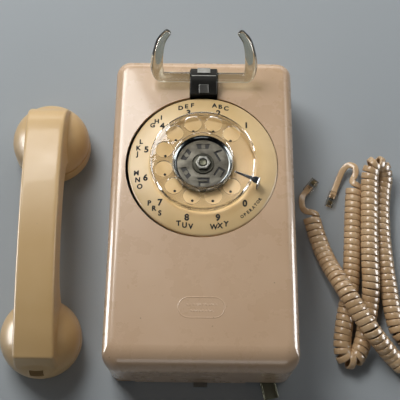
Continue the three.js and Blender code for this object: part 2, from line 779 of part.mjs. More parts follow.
function hookContacts() {
  const x = -27
  const foot = sheet + gap
  const leaves = [0, 1, 2, 3].map(i => box(5, 22, 0.5, x, 88, foot + 15 + i * 3))
  return piece('hook_contacts', 'brass', join(box(9, 9, 28, x, 96, foot + 14), ...leaves))
}

// ---- ringer ------------------------------------------------------------------------------

const gongX = gongSpacing / 2
const gongWall = 1.4

function gong(name, side) {
  const rimZ = gongTop - 13
  const mouth = gongRadius
  return piece(name, 'brass', turned([
    [3.2, gongTop], [10, gongTop - 0.4], [18, gongTop - 2.6], [23.5, gongTop - 6.5], [mouth, rimZ],
    [mouth - gongWall, rimZ], [23.5 - gongWall, gongTop - 7], [17.4, gongTop - 4],
    [10, gongTop - 0.4 - gongWall],
    [3.2, gongTop - gongWall], [3.2, gongTop],
  ], 22).translate(side * gongX, gongY, 0))
}

function gongScrew(name, side) {
  const mesh = screw(name, 'steel', 5, 2.4, gongTop + gap + 2, 2 * (sheet + gap), 2)
  mesh.position.set(side * gongX, gongY, 0)
  return mesh
}

const clapper = { pivotY: -28, z: 27, ballRadius: 1.6 }

function ringerFrame() {
  const foot = sheet + gap
  const outline = roundedOutline([[-36, -84, 6], [36, -84, 6], [36, -20, 6], [-36, -20, 6]])
  const hole = disc(2.8, foot - 1, foot + sheet + 1, 14).translate(0, clapper.pivotY, 0)
  return piece('ringer_frame', 'steel', cut(plate(outline, sheet).translate(0, 0, foot), hole))
}

function clapperPost() {
  return piece('clapper_post', 'steel',
    disc(1.6, sheet + gap, clapper.z + 3.4, 12).translate(0, clapper.pivotY, 0))
}

function clapperArm() {
  const length = clapper.pivotY - gongY
  return piece('clapper', 'steel', cut(
    join(
      disc(3.6, clapper.z - 2, clapper.z + 2, 16).translate(0, clapper.pivotY, 0),
      box(1.4, length, 1.4, 0, clapper.pivotY - length / 2, clapper.z),
      new THREE.SphereGeometry(clapper.ballRadius, 12, 8).translate(0, gongY, clapper.z),
    ),
    disc(1.6 + gap, clapper.z - 3, clapper.z + 3, 14).translate(0, clapper.pivotY, 0),
  ))
}

function ringerCoil() {
  const bottom = 2 * (sheet + gap)
  const radius = 8.5
  const length = 26
  const flange = 1.5
  const half = length / 2
  return piece('ringer_coil', 'copper', turned([
    [0, -half], [radius + 1, -half], [radius + 1, -half + flange], [radius, -half + flange],
    [radius, half - flange], [radius + 1, half - flange], [radius + 1, half], [0, half],
  ], 18).rotateY(Math.PI / 2).translate(20, -26, bottom + radius + 1))
}

const loudness = { pivot: [45.5, -100], tip: [52, -128.6], width: 11, thickness: 1.2, z: 2.2, flange: 2.4 }

// The lever is a channel: a flat web with a flange standing up along each long edge.
function loudnessLever() {
  const [pivotX, pivotY] = loudness.pivot
  const reach = Math.hypot(loudness.tip[0] - pivotX, loudness.tip[1] - pivotY)
  const lean = Math.atan2(loudness.tip[0] - pivotX, pivotY - loudness.tip[1])
  const web = box(loudness.width, reach + 6, loudness.thickness, 0, 3 - reach / 2, loudness.thickness / 2)
  const flanges = [-1, 1].map(side =>
    box(1, reach - 4, loudness.flange, side * (loudness.width / 2 - 0.5), -reach / 2 - 2, loudness.flange / 2))
  const bore = disc(2 + gap, -1, loudness.flange + 1, 14)
  return piece('loudness_lever', 'steel', cut(join(web, ...flanges), bore)
    .rotateZ(lean).translate(pivotX, pivotY, loudness.z))
}

function loudnessRivet() {
  const top = loudness.z + loudness.thickness + gap + 1
  return piece('loudness_rivet', 'steel', turned([
    [0, sheet + gap / 2], [2, sheet + gap / 2], [2, top - 1], [3.4, top - 1], [2.6, top], [0, top],
  ], 14).translate(...loudness.pivot, 0))
}

// ---- handset, drawn along Y with its middle line at x = 0 ----------------------------------

const capChamfer = 1.6
const cupLift = (cupRadius - capChamfer) * Math.sin(cupTilt)
const neckRadius = cupRadius - 3.1
const unitRadius = 23.8
const cavityTop = 19
const cordJack = { width: 9.4, depth: 13, height: 6.6, z: 25.5, front: -112 }

// Moves a piece drawn at the origin, mouth down, into the cup at `y`, leaning to the middle.
function intoCup(geometry, y) {
  const tilt = y > 0 ? -cupTilt : cupTilt
  return geometry.rotateX(tilt).translate(0, y, cupLift)
}

function cupDome(y) {
  const neckBottom = 4.5
  return intoCup(turned([
    [0, neckBottom], [neckRadius, neckBottom], [neckRadius, capHeight + gap], [cupRadius, capHeight + gap],
    [cupRadius - 0.4, 17], [26.5, 24], [21.5, 31], [14, 36.5], [6, 38.6], [0, 38.9],
  ], 32), y)
}

function cupCavity(y) {
  return intoCup(disc(unitRadius + 3 * gap, -5, cavityTop, 32), y)
}

function handleBeam() {
  const back = new THREE.SplineCurve([
    [-107, 46.5], [-88, 52.5], [-55, 58.5], [-15, handleHeight], [25, handleHeight - 1], [58, 56], [77, 49.5],
    [86, 38], [89, 26],
  ].map(([y, z]) => new THREE.Vector2(y, z)))
  const front = new THREE.SplineCurve([[44, 26], [38, 34], [18, 40.5], [-15, 42], [-42, 39], [-58, 32], [-64, 26]]
    .map(([y, z]) => new THREE.Vector2(y, z)))
  const end = new THREE.Vector2(-112, 26)
  const outline = new THREE.Shape([...back.getPoints(18), ...front.getPoints(12), end].reverse())
  const round = 2
  const beam = new THREE.ExtrudeGeometry(outline, {
    depth: handleWidth - 2 * round, bevelSize: round, bevelThickness: round, bevelOffset: -round,
    bevelSegments: 2,
  })
  beam.translate(0, 0, round - handleWidth / 2)
  const draft = 0.004 // the handle widens a little towards the front
  return moveVertices(beam.applyMatrix4(toSide), (x, y, z) => [x * (1 + draft * (handleHeight - z)), y, z])
}

function handsetHandle() {
  const pocket = box(cordJack.width + 2 * gap, 2 * cordJack.depth, cordJack.height + 2 * gap,
    0, cordJack.front, cordJack.z)
  return piece('handset_handle', 'handsetPlastic', cut(
    join(handleBeam(), cupDome(receiverY), cupDome(transmitterY)),
    cupCavity(receiverY), cupCavity(transmitterY), pocket,
  ))
}

function cap(name, y, rings) {
  const inside = neckRadius + gap
  const floor = 2.2
  const body = turned([
    [0, 0.9], [cupRadius - 7, 0], [cupRadius - capChamfer, 0], [cupRadius, capChamfer], [cupRadius, capHeight],
    [inside, capHeight], [inside, floor], [0, floor],
  ], 32)
  const holes = []
  rings.forEach(([radius, count]) => {
    for (let i = 0; i < count; i++) {
      const angle = 2 * Math.PI * i / count
      holes.push(disc(1.1, -1, floor + 1, 6).translate(radius * Math.cos(angle), radius * Math.sin(angle), 0))
    }
  })
  return piece(name, 'handsetPlastic', intoCup(cut(body, ...holes), y))
}

function soundUnit(name, y, finish) {
  const bottom = 2.2 + gap
  return piece(name, finish, intoCup(turned([
    [0, bottom], [unitRadius - 3, bottom], [unitRadius - 1, bottom + 2], [unitRadius - 1, bottom + 7],
    [unitRadius - 6, bottom + 9], [0, bottom + 9],
  ], 20), y))
}

function transmitterContacts() {
  const bottom = 2.2 + gap + 9 + gap
  return piece('transmitter_contacts', 'brass', intoCup(ring(9, 15, bottom, bottom + 3, 10), transmitterY))
}

function handsetCordJack() {
  const { width, depth, height, z, front } = cordJack
  const socket = { width: 6.9, height: 4.9, depth: 9 }
  return piece('handset_cord_jack', 'blackPlastic', cut(
    box(width, depth - gap, height, 0, front + (depth - gap) / 2, z),
    box(socket.width, 2 * socket.depth, socket.height, 0, front, z),
  ))
}

function handset() {
  const group = groupOf(
    handsetHandle(),
    cap('receiver_cap', receiverY, [[0, 1], [5, 6]]),
    cap('transmitter_cap', transmitterY, [[0, 1], [5, 6], [10, 12]]),
    soundUnit('receiver_unit', receiverY, 'steel'),
    soundUnit('transmitter_unit', transmitterY, 'brass'),
    transmitterContacts(), handsetCordJack(),
  )
  group.position.x = handsetX
  return group
}

// ---- cord --------------------------------------------------------------------------------

// Middle line of the coiled stretch: down over two strands, round, up, over and down again.
const curlRoute = [
  [82, 14, 7], [84, 7.5, 7], [87.2, -4, 7], [91.6, -17.5, 7.4], [96.6, -30.4, 11],
  [102.4, -43, 17], [108.2, -54.2, 20.6], [113.7, -64, 21.2], [119.1, -73, 21.2], [124.7, -80.8, 20.2],
  [131.8, -88.8, 15.6], [140.6, -97.4, 9], [149, -104.4, 7], [159, -107.6, 7], [167.5, -102.6, 7],
  [167.6, -93.5, 7], [160, -87.2, 7], [151.6, -83.6, 7], [145.8, -76, 7], [142.6, -62, 7],
  [140.6, -45, 7], [138.6, -26, 7], [137.4, -7, 7], [137.4, 12, 7], [138.8, 29, 7],
  [140.4, 40, 9], [138, 47.6, 14], [132, 48.4, 17.6], [128.6, 41, 17], [127.8, 28, 15.8],
  [127, 8, 15.2], [126.4, -10, 15], [126.2, -28, 14.6], [126.4, -46, 12.4], [125.6, -61, 8.2],
  [122.4, -76, 7], [118.6, -90, 7], [113.2, -99.4, 7], [106.6, -98.4, 7], [104.6, -89, 7],
  [106.4, -73, 7], [109.6, -57, 7], [112.2, -42, 7], [113.8, -25, 7], [114.8, -7, 7],
  [115.8, 12, 7], [117.2, 28, 7], [118, 37.5, 7],
]
const tailARoute = [
  [77.2, 16.6, 7], [76.6, 20.4, 6.2], [77, 24.2, 4.6], [78.2, 27.6, 3], [80.4, 30.4, 2.4],
]
const tailBRoute = [
  [118.4, 40.6, 8], [119.4, 45.2, 8.6], [118, 49.8, 8], [113.6, 51.4, 6.6], [109.6, 48.2, 5], [106.6, 42, 3.4],
  [104.2, 36, 2.6], [102.2, 30.8, 2.4],
]
const plug = { length: 12, width: 6.6, height: 4.2, clearance: 0.7 }

function cordTail(name, route) {
  return piece(name, 'cordPlastic', tubeAlong(curveThrough(route), flatCordDiameter / 2, 8, 12))
}

// A modular plug in line with the last stretch of a cord's tail.
function cordPlug(name, route) {
  const end = new THREE.Vector3(...route[route.length - 1])
  const before = new THREE.Vector3(...route[route.length - 2])
  const heading = Math.atan2(end.y - before.y, end.x - before.x)
  const body = join(
    box(plug.length, plug.width, plug.height, plug.length / 2 + plug.clearance, 0, 0),
    box(plug.length - 3, 3, 0.8, plug.length / 2 + plug.clearance, 0, plug.height / 2 + 0.2),
  )
  return piece(name, 'clearPlastic', body.rotateZ(heading).translate(end.x, end.y, plug.height / 2 + gap / 2))
}

function cord() {
  return groupOf(
    piece('curly_cord', 'cordPlastic', tubeAlong(curveThrough(curlRoute), curlDiameter / 2, 8, 78)),
    cordTail('cord_tail_a', tailARoute), cordTail('cord_tail_b', tailBRoute),
    cordPlug('cord_plug_a', tailARoute), cordPlug('cord_plug_b', tailBRoute),
  )
}

// ---- the phone ---------------------------------------------------------------------------

const phone = groupOf(
  housing(), basePlate(), handsetJack(), networkBlock(),
  dial(), dialBracket('dial_bracket_left', -1), dialBracket('dial_bracket_right', 1),
  hookFork(), hookLever(), forkClip(), hookFrame(), hookPin(), hookSpring(), hookContacts(),
  gong('gong_left', -1), gong('gong_right', 1),
  gongScrew('gong_screw_left', -1), gongScrew('gong_screw_right', 1),
  ringerFrame(), ringerCoil(), clapperPost(), clapperArm(), loudnessLever(), loudnessRivet(),
  handset(), cord(),
)

export default phone
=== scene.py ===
# Rotary wall phone lying on its back, its handset and its curly cord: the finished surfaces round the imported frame.
# Pieces are drawn in millimetres and made metres as they become meshes. +Y is the phone's top.
import json
import math
import bmesh
import bpy
from mathutils import Matrix, Vector


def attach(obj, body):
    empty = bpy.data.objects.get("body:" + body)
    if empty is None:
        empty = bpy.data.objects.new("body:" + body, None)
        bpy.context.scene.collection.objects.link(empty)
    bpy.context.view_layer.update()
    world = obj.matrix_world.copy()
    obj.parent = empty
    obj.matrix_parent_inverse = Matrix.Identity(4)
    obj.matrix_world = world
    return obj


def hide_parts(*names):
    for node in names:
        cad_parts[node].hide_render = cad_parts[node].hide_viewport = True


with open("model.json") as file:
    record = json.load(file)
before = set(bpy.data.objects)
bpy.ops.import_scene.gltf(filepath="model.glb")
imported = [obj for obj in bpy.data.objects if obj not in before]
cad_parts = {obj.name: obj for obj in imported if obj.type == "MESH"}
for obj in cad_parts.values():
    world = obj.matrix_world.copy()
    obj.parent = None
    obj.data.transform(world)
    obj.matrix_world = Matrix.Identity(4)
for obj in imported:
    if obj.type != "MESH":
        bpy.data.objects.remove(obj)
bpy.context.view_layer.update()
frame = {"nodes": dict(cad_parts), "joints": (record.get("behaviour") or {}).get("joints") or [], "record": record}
mm = 0.001
print("frame loaded, %d nodes" % len(frame["nodes"]))


# camera, first because the cord is placed for it
camera = {"lens": 90, "sensor": 36, "place": (-1.8, -203.7, 744.0), "tilt": 17, "roll": 0.65}


def makeCamera():
    data = bpy.data.cameras.new("camera")
    data.lens = camera["lens"]
    data.sensor_width = camera["sensor"]
    view = bpy.data.objects.new("camera", data)
    bpy.context.scene.collection.objects.link(view)
    turn = Matrix.Rotation(math.radians(camera["tilt"]), 4, "X") @ Matrix.Rotation(math.radians(camera["roll"]), 4, "Z")
    view.matrix_world = Matrix.Translation(Vector(camera["place"]) * mm) @ turn
    bpy.context.scene.camera = view


makeCamera()
print("camera placed")


# ---- small tools for meshes

# Catmull-Rom points through the given ones.
def smoothPath(points, perSpan):
    ends = [points[0] * 2 - points[1], *points, points[-1] * 2 - points[-2]]
    path = []
    for a, b, c, d in zip(ends, ends[1:], ends[2:], ends[3:]):
        for step in range(perSpan):
            t = step / perSpan
            path.append(0.5 * (2 * b + (c - a) * t + (2 * a - 5 * b + 4 * c - d) * t * t + (3 * b - a - 3 * c + d) * t ** 3))
    path.append(points[-1].copy())
    return path


def meshFrom(bm, name, place=Matrix(), crease=32):
    bmesh.ops.remove_doubles(bm, verts=bm.verts, dist=0.004)
    bmesh.ops.recalc_face_normals(bm, faces=bm.faces)
    bm.transform(Matrix.Scale(mm, 4) @ place)
    mesh = bpy.data.meshes.new(name)
    bm.to_mesh(mesh)
    bm.free()
    mesh.shade_smooth()
    mesh.set_sharp_from_angle(angle=math.radians(crease))
    return mesh


def addPiece(name, mesh, material, body, replaced=()):
    mesh.materials.clear()
    mesh.materials.append(material)
    piece = bpy.data.objects.new(name, mesh)
    bpy.context.scene.collection.objects.link(piece)
    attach(piece, body)
    if replaced:
        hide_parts(*replaced)
    return piece


def roundEdges(piece, width, segments=3, angle=30):
    bevel = piece.modifiers.new("round edges", "BEVEL")
    bevel.width = width * mm
    bevel.segments = segments
    bevel.limit_method = "ANGLE"
    bevel.angle_limit = math.radians(angle)
    bevel.harden_normals = True
    return piece


def evenShading(piece):
    piece.modifiers.new("even shading", "WEIGHTED_NORMAL").keep_sharp = True
    return piece


def applyModifiers(piece):
    bpy.context.view_layer.update()
    shape = piece.evaluated_get(bpy.context.evaluated_depsgraph_get())
    mesh = bpy.data.meshes.new_from_object(shape)
    piece.modifiers.clear()
    piece.data = mesh
    return piece


# Takes the closed shapes in bm, in millimetres, out of the piece.
def cutWith(piece, bm):
    cutter = bpy.data.objects.new("cutter", meshFrom(bm, "cutter"))
    bpy.context.scene.collection.objects.link(cutter)
    cut = piece.modifiers.new("cut", "BOOLEAN")
    cut.operation = "DIFFERENCE"
    cut.solver = "EXACT"
    cut.use_self = True
    cut.object = cutter
    applyModifiers(piece)
    bpy.data.objects.remove(cutter)
    piece.data.shade_smooth()
    piece.data.set_sharp_from_angle(angle=math.radians(32))
    return piece


def addBox(bm, low, high, place=Matrix()):
    size = Vector(high) - Vector(low)
    middle = (Vector(high) + Vector(low)) / 2
    bmesh.ops.create_cube(bm, size=1, matrix=place @ Matrix.Translation(middle) @ Matrix.Diagonal(size).to_4x4())


def addDisc(bm, radius, low, high, segments=48, place=Matrix(), topRadius=None):
    bmesh.ops.create_cone(bm, cap_ends=True, segments=segments, radius1=radius, radius2=topRadius or radius,
                          depth=high - low, matrix=place @ Matrix.Translation((0, 0, (low + high) / 2)))


def addTurned(bm, profile, steps=96, closed=True, place=Matrix()):
    verts = [bm.verts.new((radius, 0, z)) for radius, z in profile]
    edges = [bm.edges.new(pair) for pair in zip(verts, verts[1:])]
    if closed:
        edges.append(bm.edges.new((verts[-1], verts[0])))
    made = bmesh.ops.spin(bm, geom=verts + edges, cent=(0, 0, 0), axis=(0, 0, 1), angle=2 * math.pi,
                          steps=steps, use_merge=True)
    whole = {v for e in made["geom_last"] if isinstance(e, bmesh.types.BMEdge) for v in e.verts}
    if place != Matrix():
        reached, front = set(whole), list(whole)
        while front:
            v = front.pop()
            for e in v.link_edges:
                other = e.other_vert(v)
                if other not in reached:
                    reached.add(other)
                    front.append(other)
        bmesh.ops.transform(bm, matrix=place, verts=list(reached))


def turnedMesh(name, profile, place=Matrix(), steps=96, closed=True, crease=32):
    bm = bmesh.new()
    addTurned(bm, profile, steps, closed)
    return meshFrom(bm, name, place, crease)


# A closed outline of (y, z), pushed through from x = low to x = high, or (x, z) along y.
def addProfile(bm, outline, low, high, upright):
    point = (lambda u, z: (low, u, z)) if upright == "x" else (lambda u, z: (u, low, z))
    face = bm.faces.new([bm.verts.new(point(u, z)) for u, z in outline])
    pushed = bmesh.ops.extrude_face_region(bm, geom=[face])
    shift = Vector((high - low, 0, 0)) if upright == "x" else Vector((0, high - low, 0))
    moved = [v for v in pushed["geom"] if isinstance(v, bmesh.types.BMVert)]
    bmesh.ops.translate(bm, verts=moved, vec=shift)
    bmesh.ops.recalc_face_normals(bm, faces=bm.faces)


# Bridges a row of closed rings of points.
def addRings(bm, rings, closeEnds=True):
    loops = []
    for ring in rings:
        verts = [bm.verts.new(p) for p in ring]
        loops.append(verts)
    for a, b in zip(loops, loops[1:]):
        for i in range(len(a)):
            j = (i + 1) % len(a)
            bm.faces.new((a[i], a[j], b[j], b[i]))
    if closeEnds:
        bm.faces.new(list(reversed(loops[0])))
        bm.faces.new(loops[-1])
    return loops


def superRing(centre, side, up, halfWidth, halfHeight, count, power=2.6):
    ring = []
    for i in range(count):
        angle = 2 * math.pi * i / count
        c, s = math.cos(angle), math.sin(angle)
        x = math.copysign(abs(c) ** (2 / power), c) * halfWidth
        y = math.copysign(abs(s) ** (2 / power), s) * halfHeight
        ring.append(centre + side * x + up * y)
    return ring


# A flat plate from outlines, the first outside and the rest holes, with its edges rounded.
def outlineCurve(name, outlines, bottom, top, edge, place=Matrix(), crease=40):
    curve = bpy.data.curves.new(name, "CURVE")
    curve.dimensions = "2D"
    curve.fill_mode = "BOTH"
    curve.extrude = (top - bottom) / 2 - edge
    curve.bevel_depth = edge
    curve.bevel_resolution = 2
    curve.offset = -edge
    for points in outlines:
        spline = curve.splines.new("POLY")
        spline.points.add(len(points) - 1)
        for slot, (x, y) in zip(spline.points, points):
            slot.co = (x, y, 0, 1)
        spline.use_cyclic_u = True
    holder = bpy.data.objects.new(name, curve)
    bpy.context.scene.collection.objects.link(holder)
    bpy.context.view_layer.update()
    flat = bpy.data.meshes.new_from_object(holder.evaluated_get(bpy.context.evaluated_depsgraph_get()))
    bpy.data.objects.remove(holder)
    bm = bmesh.new()
    bm.from_mesh(flat)
    bpy.data.meshes.remove(flat)
    return meshFrom(bm, name, place @ Matrix.Translation((0, 0, (bottom + top) / 2)), crease)


def circlePoints(radius, count, centre=(0, 0), clockwise=False):
    sign = -1 if clockwise else 1
    return [(centre[0] + radius * math.cos(sign * 2 * math.pi * i / count),
             centre[1] + radius * math.sin(sign * 2 * math.pi * i / count)) for i in range(count)]


# ---- materials

# Adds a node, sets its properties and the inputs named (underscores stand for spaces).
def nodeIn(tree, kind, settings=None, **inputs):
    node = tree.nodes.new(kind)
    for key, value in (settings or {}).items():
        setattr(node, key, value)
    for key, value in inputs.items():
        socket = node.inputs[key.replace("_", " ")]
        if isinstance(value, bpy.types.NodeSocket):
            tree.links.new(value, socket)
        else:
            socket.default_value = value
    return node


# An sRGB colour of 0 to 255 as the shader wants it.
def colour(red, green, blue):
    def linear(value):
        value /= 255
        return value / 12.92 if value <= 0.04045 else ((value + 0.055) / 1.055) ** 2.4
    return (linear(red), linear(green), linear(blue), 1)


def newGroup(name, inputs, outputs):
    group = bpy.data.node_groups.new(name, "ShaderNodeTree")
    for title, kind, value in inputs:
        socket = group.interface.new_socket(title, in_out="INPUT", socket_type=kind)
        socket.default_value = value
    for title, kind in outputs:
        group.interface.new_socket(title, in_out="OUTPUT", socket_type=kind)
    return group, group.nodes.new("NodeGroupInput"), group.nodes.new("NodeGroupOutput")


# Old glossy plastic: slow patches of ageing, small dirt specks and fine wear in the gloss.
def makeMouldedGroup():
    group, given, out = newGroup("moulded plastic", [
        ("Color", "NodeSocketColor", (1, 1, 1, 1)), ("Aged Color", "NodeSocketColor", (0.8, 0.7, 0.5, 1)),
        ("Ageing", "NodeSocketFloat", 0.4), ("Patch Size", "NodeSocketFloat", 20.0),
        ("Specks", "NodeSocketFloat", 0.5), ("Roughness", "NodeSocketFloat", 0.3), ("Bump", "NodeSocketFloat", 0.1),
    ], [("Color", "NodeSocketColor"), ("Roughness", "NodeSocketFloat"), ("Normal", "NodeSocketVector")])
    place = nodeIn(group, "ShaderNodeTexCoord").outputs["Object"]
    patches = nodeIn(group, "ShaderNodeTexNoise", Vector=place, Scale=given.outputs["Patch Size"], Detail=3.0)
    share = nodeIn(group, "ShaderNodeMapRange", Value=patches.outputs["Fac"], From_Min=0.35, From_Max=0.7,
                   To_Min=0.0, To_Max=given.outputs["Ageing"])
    aged = nodeIn(group, "ShaderNodeMix", {"data_type": "RGBA"})
    for socket, source in ((0, share.outputs[0]), (6, given.outputs["Color"]), (7, given.outputs["Aged Color"])):
        group.links.new(source, aged.inputs[socket])
    dots = nodeIn(group, "ShaderNodeTexVoronoi", Vector=place, Scale=170.0)
    rare = nodeIn(group, "ShaderNodeTexNoise", Vector=place, Scale=60.0, Detail=1.0)
    speck = nodeIn(group, "ShaderNodeMapRange", Value=dots.outputs["Distance"], From_Min=0.05, From_Max=0.11,
                   To_Min=1.0, To_Max=0.0)
    where = nodeIn(group, "ShaderNodeMapRange", Value=rare.outputs["Fac"], From_Min=0.6, From_Max=0.68)
    both = nodeIn(group, "ShaderNodeMath", {"operation": "MULTIPLY"})
    group.links.new(speck.outputs[0], both.inputs[0])
    group.links.new(where.outputs[0], both.inputs[1])
    amount = nodeIn(group, "ShaderNodeMath", {"operation": "MULTIPLY"})
    group.links.new(both.outputs[0], amount.inputs[0])
    group.links.new(given.outputs["Specks"], amount.inputs[1])
    dirty = nodeIn(group, "ShaderNodeMix", {"data_type": "RGBA"})
    group.links.new(amount.outputs[0], dirty.inputs[0])
    group.links.new(aged.outputs[2], dirty.inputs[6])
    dirty.inputs[7].default_value = colour(70, 52, 36)
    wear = nodeIn(group, "ShaderNodeTexNoise", Vector=place, Scale=45.0, Detail=6.0, Roughness=0.65)
    spread = nodeIn(group, "ShaderNodeMapRange", Value=wear.outputs["Fac"], From_Min=0.3, From_Max=0.7,
                    To_Min=-0.05, To_Max=0.08)
    rough = nodeIn(group, "ShaderNodeMath", {"operation": "ADD"})
    group.links.new(spread.outputs[0], rough.inputs[0])
    group.links.new(given.outputs["Roughness"], rough.inputs[1])
    fine = nodeIn(group, "ShaderNodeTexNoise", Vector=place, Scale=900.0, Detail=2.0)
    slow = nodeIn(group, "ShaderNodeTexNoise", Vector=place, Scale=70.0, Detail=2.0)
    height = nodeIn(group, "ShaderNodeMath", {"operation": "MULTIPLY_ADD"})
    group.links.new(fine.outputs["Fac"], height.inputs[0])
    height.inputs[1].default_value = 0.12
    group.links.new(slow.outputs["Fac"], height.inputs[2])
    bump = nodeIn(group, "ShaderNodeBump", Strength=given.outputs["Bump"], Distance=0.0006, Height=height.outputs[0])
    group.links.new(dirty.outputs[2], out.inputs["Color"])
    group.links.new(rough.outputs[0], out.inputs["Roughness"])
    group.links.new(bump.outputs[0], out.inputs["Normal"])
    return group


# Handled metal: fine scratches one way, dull spots and a little grime.
def makeMetalGroup():
    group, given, out = newGroup("handled metal", [
        ("Color", "NodeSocketColor", (0.6, 0.6, 0.6, 1)), ("Dull Color", "NodeSocketColor", (0.2, 0.2, 0.18, 1)),
        ("Dullness", "NodeSocketFloat", 0.4), ("Roughness", "NodeSocketFloat", 0.3), ("Bump", "NodeSocketFloat", 0.1),
    ], [("Color", "NodeSocketColor"), ("Roughness", "NodeSocketFloat"), ("Normal", "NodeSocketVector")])
    place = nodeIn(group, "ShaderNodeTexCoord").outputs["Object"]
    spots = nodeIn(group, "ShaderNodeTexNoise", Vector=place, Scale=120.0, Detail=5.0, Roughness=0.6)
    share = nodeIn(group, "ShaderNodeMapRange", Value=spots.outputs["Fac"], From_Min=0.4, From_Max=0.7,
                   To_Min=0.0, To_Max=given.outputs["Dullness"])
    mixed = nodeIn(group, "ShaderNodeMix", {"data_type": "RGBA"})
    for socket, source in ((0, share.outputs[0]), (6, given.outputs["Color"]), (7, given.outputs["Dull Color"])):
        group.links.new(source, mixed.inputs[socket])
    stretched = nodeIn(group, "ShaderNodeMapping", Vector=place, Scale=(4000.0, 300.0, 1500.0))
    scratches = nodeIn(group, "ShaderNodeTexNoise", Vector=stretched.outputs[0], Scale=1.0, Detail=2.0)
    rough = nodeIn(group, "ShaderNodeMath", {"operation": "MULTIPLY_ADD"})
    group.links.new(share.outputs[0], rough.inputs[0])
    rough.inputs[1].default_value = 0.35
    group.links.new(given.outputs["Roughness"], rough.inputs[2])
    bump = nodeIn(group, "ShaderNodeBump", Strength=given.outputs["Bump"], Distance=0.0001, Height=scratches.outputs["Fac"])
    group.links.new(mixed.outputs[2], out.inputs["Color"])
    group.links.new(rough.outputs[0], out.inputs["Roughness"])
    group.links.new(bump.outputs[0], out.inputs["Normal"])
    return group


mouldedGroup = makeMouldedGroup()
metalGroup = makeMetalGroup()


def newMaterial(name):
    material = bpy.data.materials.new(name)
    material.use_nodes = True
    tree = material.node_tree
    return material, tree, tree.nodes["Principled BSDF"]


def mouldedPlastic(name, fresh, aged, ageing=0.4, patchSize=18.0, specks=0.4, roughness=0.28, bump=0.08, coat=0.0):
    material, tree, shader = newMaterial(name)
    group = nodeIn(tree, "ShaderNodeGroup", {"node_tree": mouldedGroup}, Color=fresh, Aged_Color=aged, Ageing=ageing,
                   Patch_Size=patchSize, Specks=specks, Roughness=roughness, Bump=bump)
    tree.links.new(group.outputs["Color"], shader.inputs["Base Color"])
    tree.links.new(group.outputs["Roughness"], shader.inputs["Roughness"])
    tree.links.new(group.outputs["Normal"], shader.inputs["Normal"])
    shader.inputs["Coat Weight"].default_value = coat
    shader.inputs["Coat Roughness"].default_value = 0.06
    return material


def handledMetal(name, bright, dull, dullness=0.4, roughness=0.3, bump=0.1, metallic=1.0):
    material, tree, shader = newMaterial(name)
    group = nodeIn(tree, "ShaderNodeGroup", {"node_tree": metalGroup}, Color=bright, Dull_Color=dull,
                   Dullness=dullness, Roughness=roughness, Bump=bump)
    tree.links.new(group.outputs["Color"], shader.inputs["Base Color"])
    tree.links.new(group.outputs["Roughness"], shader.inputs["Roughness"])
    tree.links.new(group.outputs["Normal"], shader.inputs["Normal"])
    shader.inputs["Metallic"].default_value = metallic
    return material


# Clear moulding with slight waves in its surface. Lamps shine through it.
def clearPlastic(name, tint, roughness=0.03):
    material, tree, shader = newMaterial(name)
    shader.inputs["Base Color"].default_value = tint
    shader.inputs["Transmission Weight"].default_value = 1
    shader.inputs["IOR"].default_value = 1.49
    shader.inputs["Roughness"].default_value = roughness
    place = nodeIn(tree, "ShaderNodeTexCoord").outputs["Object"]
    waves = nodeIn(tree, "ShaderNodeTexNoise", Vector=place, Scale=160.0, Detail=2.0)
    bump = nodeIn(tree, "ShaderNodeBump", Strength=0.25, Distance=0.0004, Height=waves.outputs["Fac"])
    tree.links.new(bump.outputs[0], shader.inputs["Normal"])
    clear = nodeIn(tree, "ShaderNodeBsdfTransparent", Color=tint)
    path = nodeIn(tree, "ShaderNodeLightPath")
    choice = nodeIn(tree, "ShaderNodeMixShader")
    tree.links.new(path.outputs["Is Shadow Ray"], choice.inputs[0])
    tree.links.new(shader.outputs[0], choice.inputs[1])
    tree.links.new(clear.outputs[0], choice.inputs[2])
    tree.links.new(choice.outputs[0], tree.nodes["Material Output"].inputs["Surface"])
    return material


finishes = {
    "housing_plastic": mouldedPlastic("housing plastic", colour(208, 178, 148), colour(196, 164, 132), 0.5, 14.0,
                                      0.5, 0.27, 0.05, 0.5),
    "handset_plastic": mouldedPlastic("handset plastic", colour(212, 180, 130), colour(196, 160, 106), 0.6, 16.0,
                                      0.25, 0.36, 0.06, 0.15),
    "dial_plastic": mouldedPlastic("dial plastic", colour(226, 198, 150), colour(208, 174, 116), 0.7, 30.0,
                                   0.35, 0.36, 0.05, 0.05),
    "clear_plastic": clearPlastic("clear plastic", colour(224, 221, 217)),
    "black_plastic": mouldedPlastic("black plastic", colour(30, 28, 26), colour(44, 40, 34), 0.5, 90.0, 0, 0.5, 0.1),
    "grey_plastic": mouldedPlastic("grey plastic", colour(112, 116, 120), colour(88, 90, 92), 0.5, 60.0, 0.4, 0.5, 0.1),
    "cord_plastic": mouldedPlastic("cord plastic", colour(206, 176, 138), colour(172, 136, 94), 0.7, 45.0,
                                   0.5, 0.27, 0.05, 0.3),
    "steel": handledMetal("steel", colour(150, 150, 146), colour(88, 86, 78), 0.5, 0.34, 0.12),
    "black_steel": handledMetal("black steel", colour(38, 37, 33), colour(20, 19, 17), 0.5, 0.38, 0.1, 0.4),
    "chrome": handledMetal("chrome", colour(205, 208, 212), colour(120, 120, 116), 0.25, 0.1, 0.04),
    "brass": handledMetal("brass", colour(186, 160, 92), colour(110, 84, 44), 0.5, 0.32, 0.12),
    "copper": handledMetal("copper winding", colour(128, 66, 34), colour(70, 34, 20), 0.5, 0.5, 0.2, 0.5),
}
inkBlack = mouldedPlastic("dial ink", colour(12, 10, 7), colour(24, 20, 14), 0.4, 200.0, 0, 0.85, 0.02)
print("materials made")


# Every node of the frame takes the finish of its slot in the record.
def dressFrame():
    for row in frame["record"]["subparts"]:
        node = frame["nodes"][row["node"]]
        node.data.materials.clear()
        node.data.materials.append(finishes[row["material_slot"]])


dressFrame()
print("frame dressed")


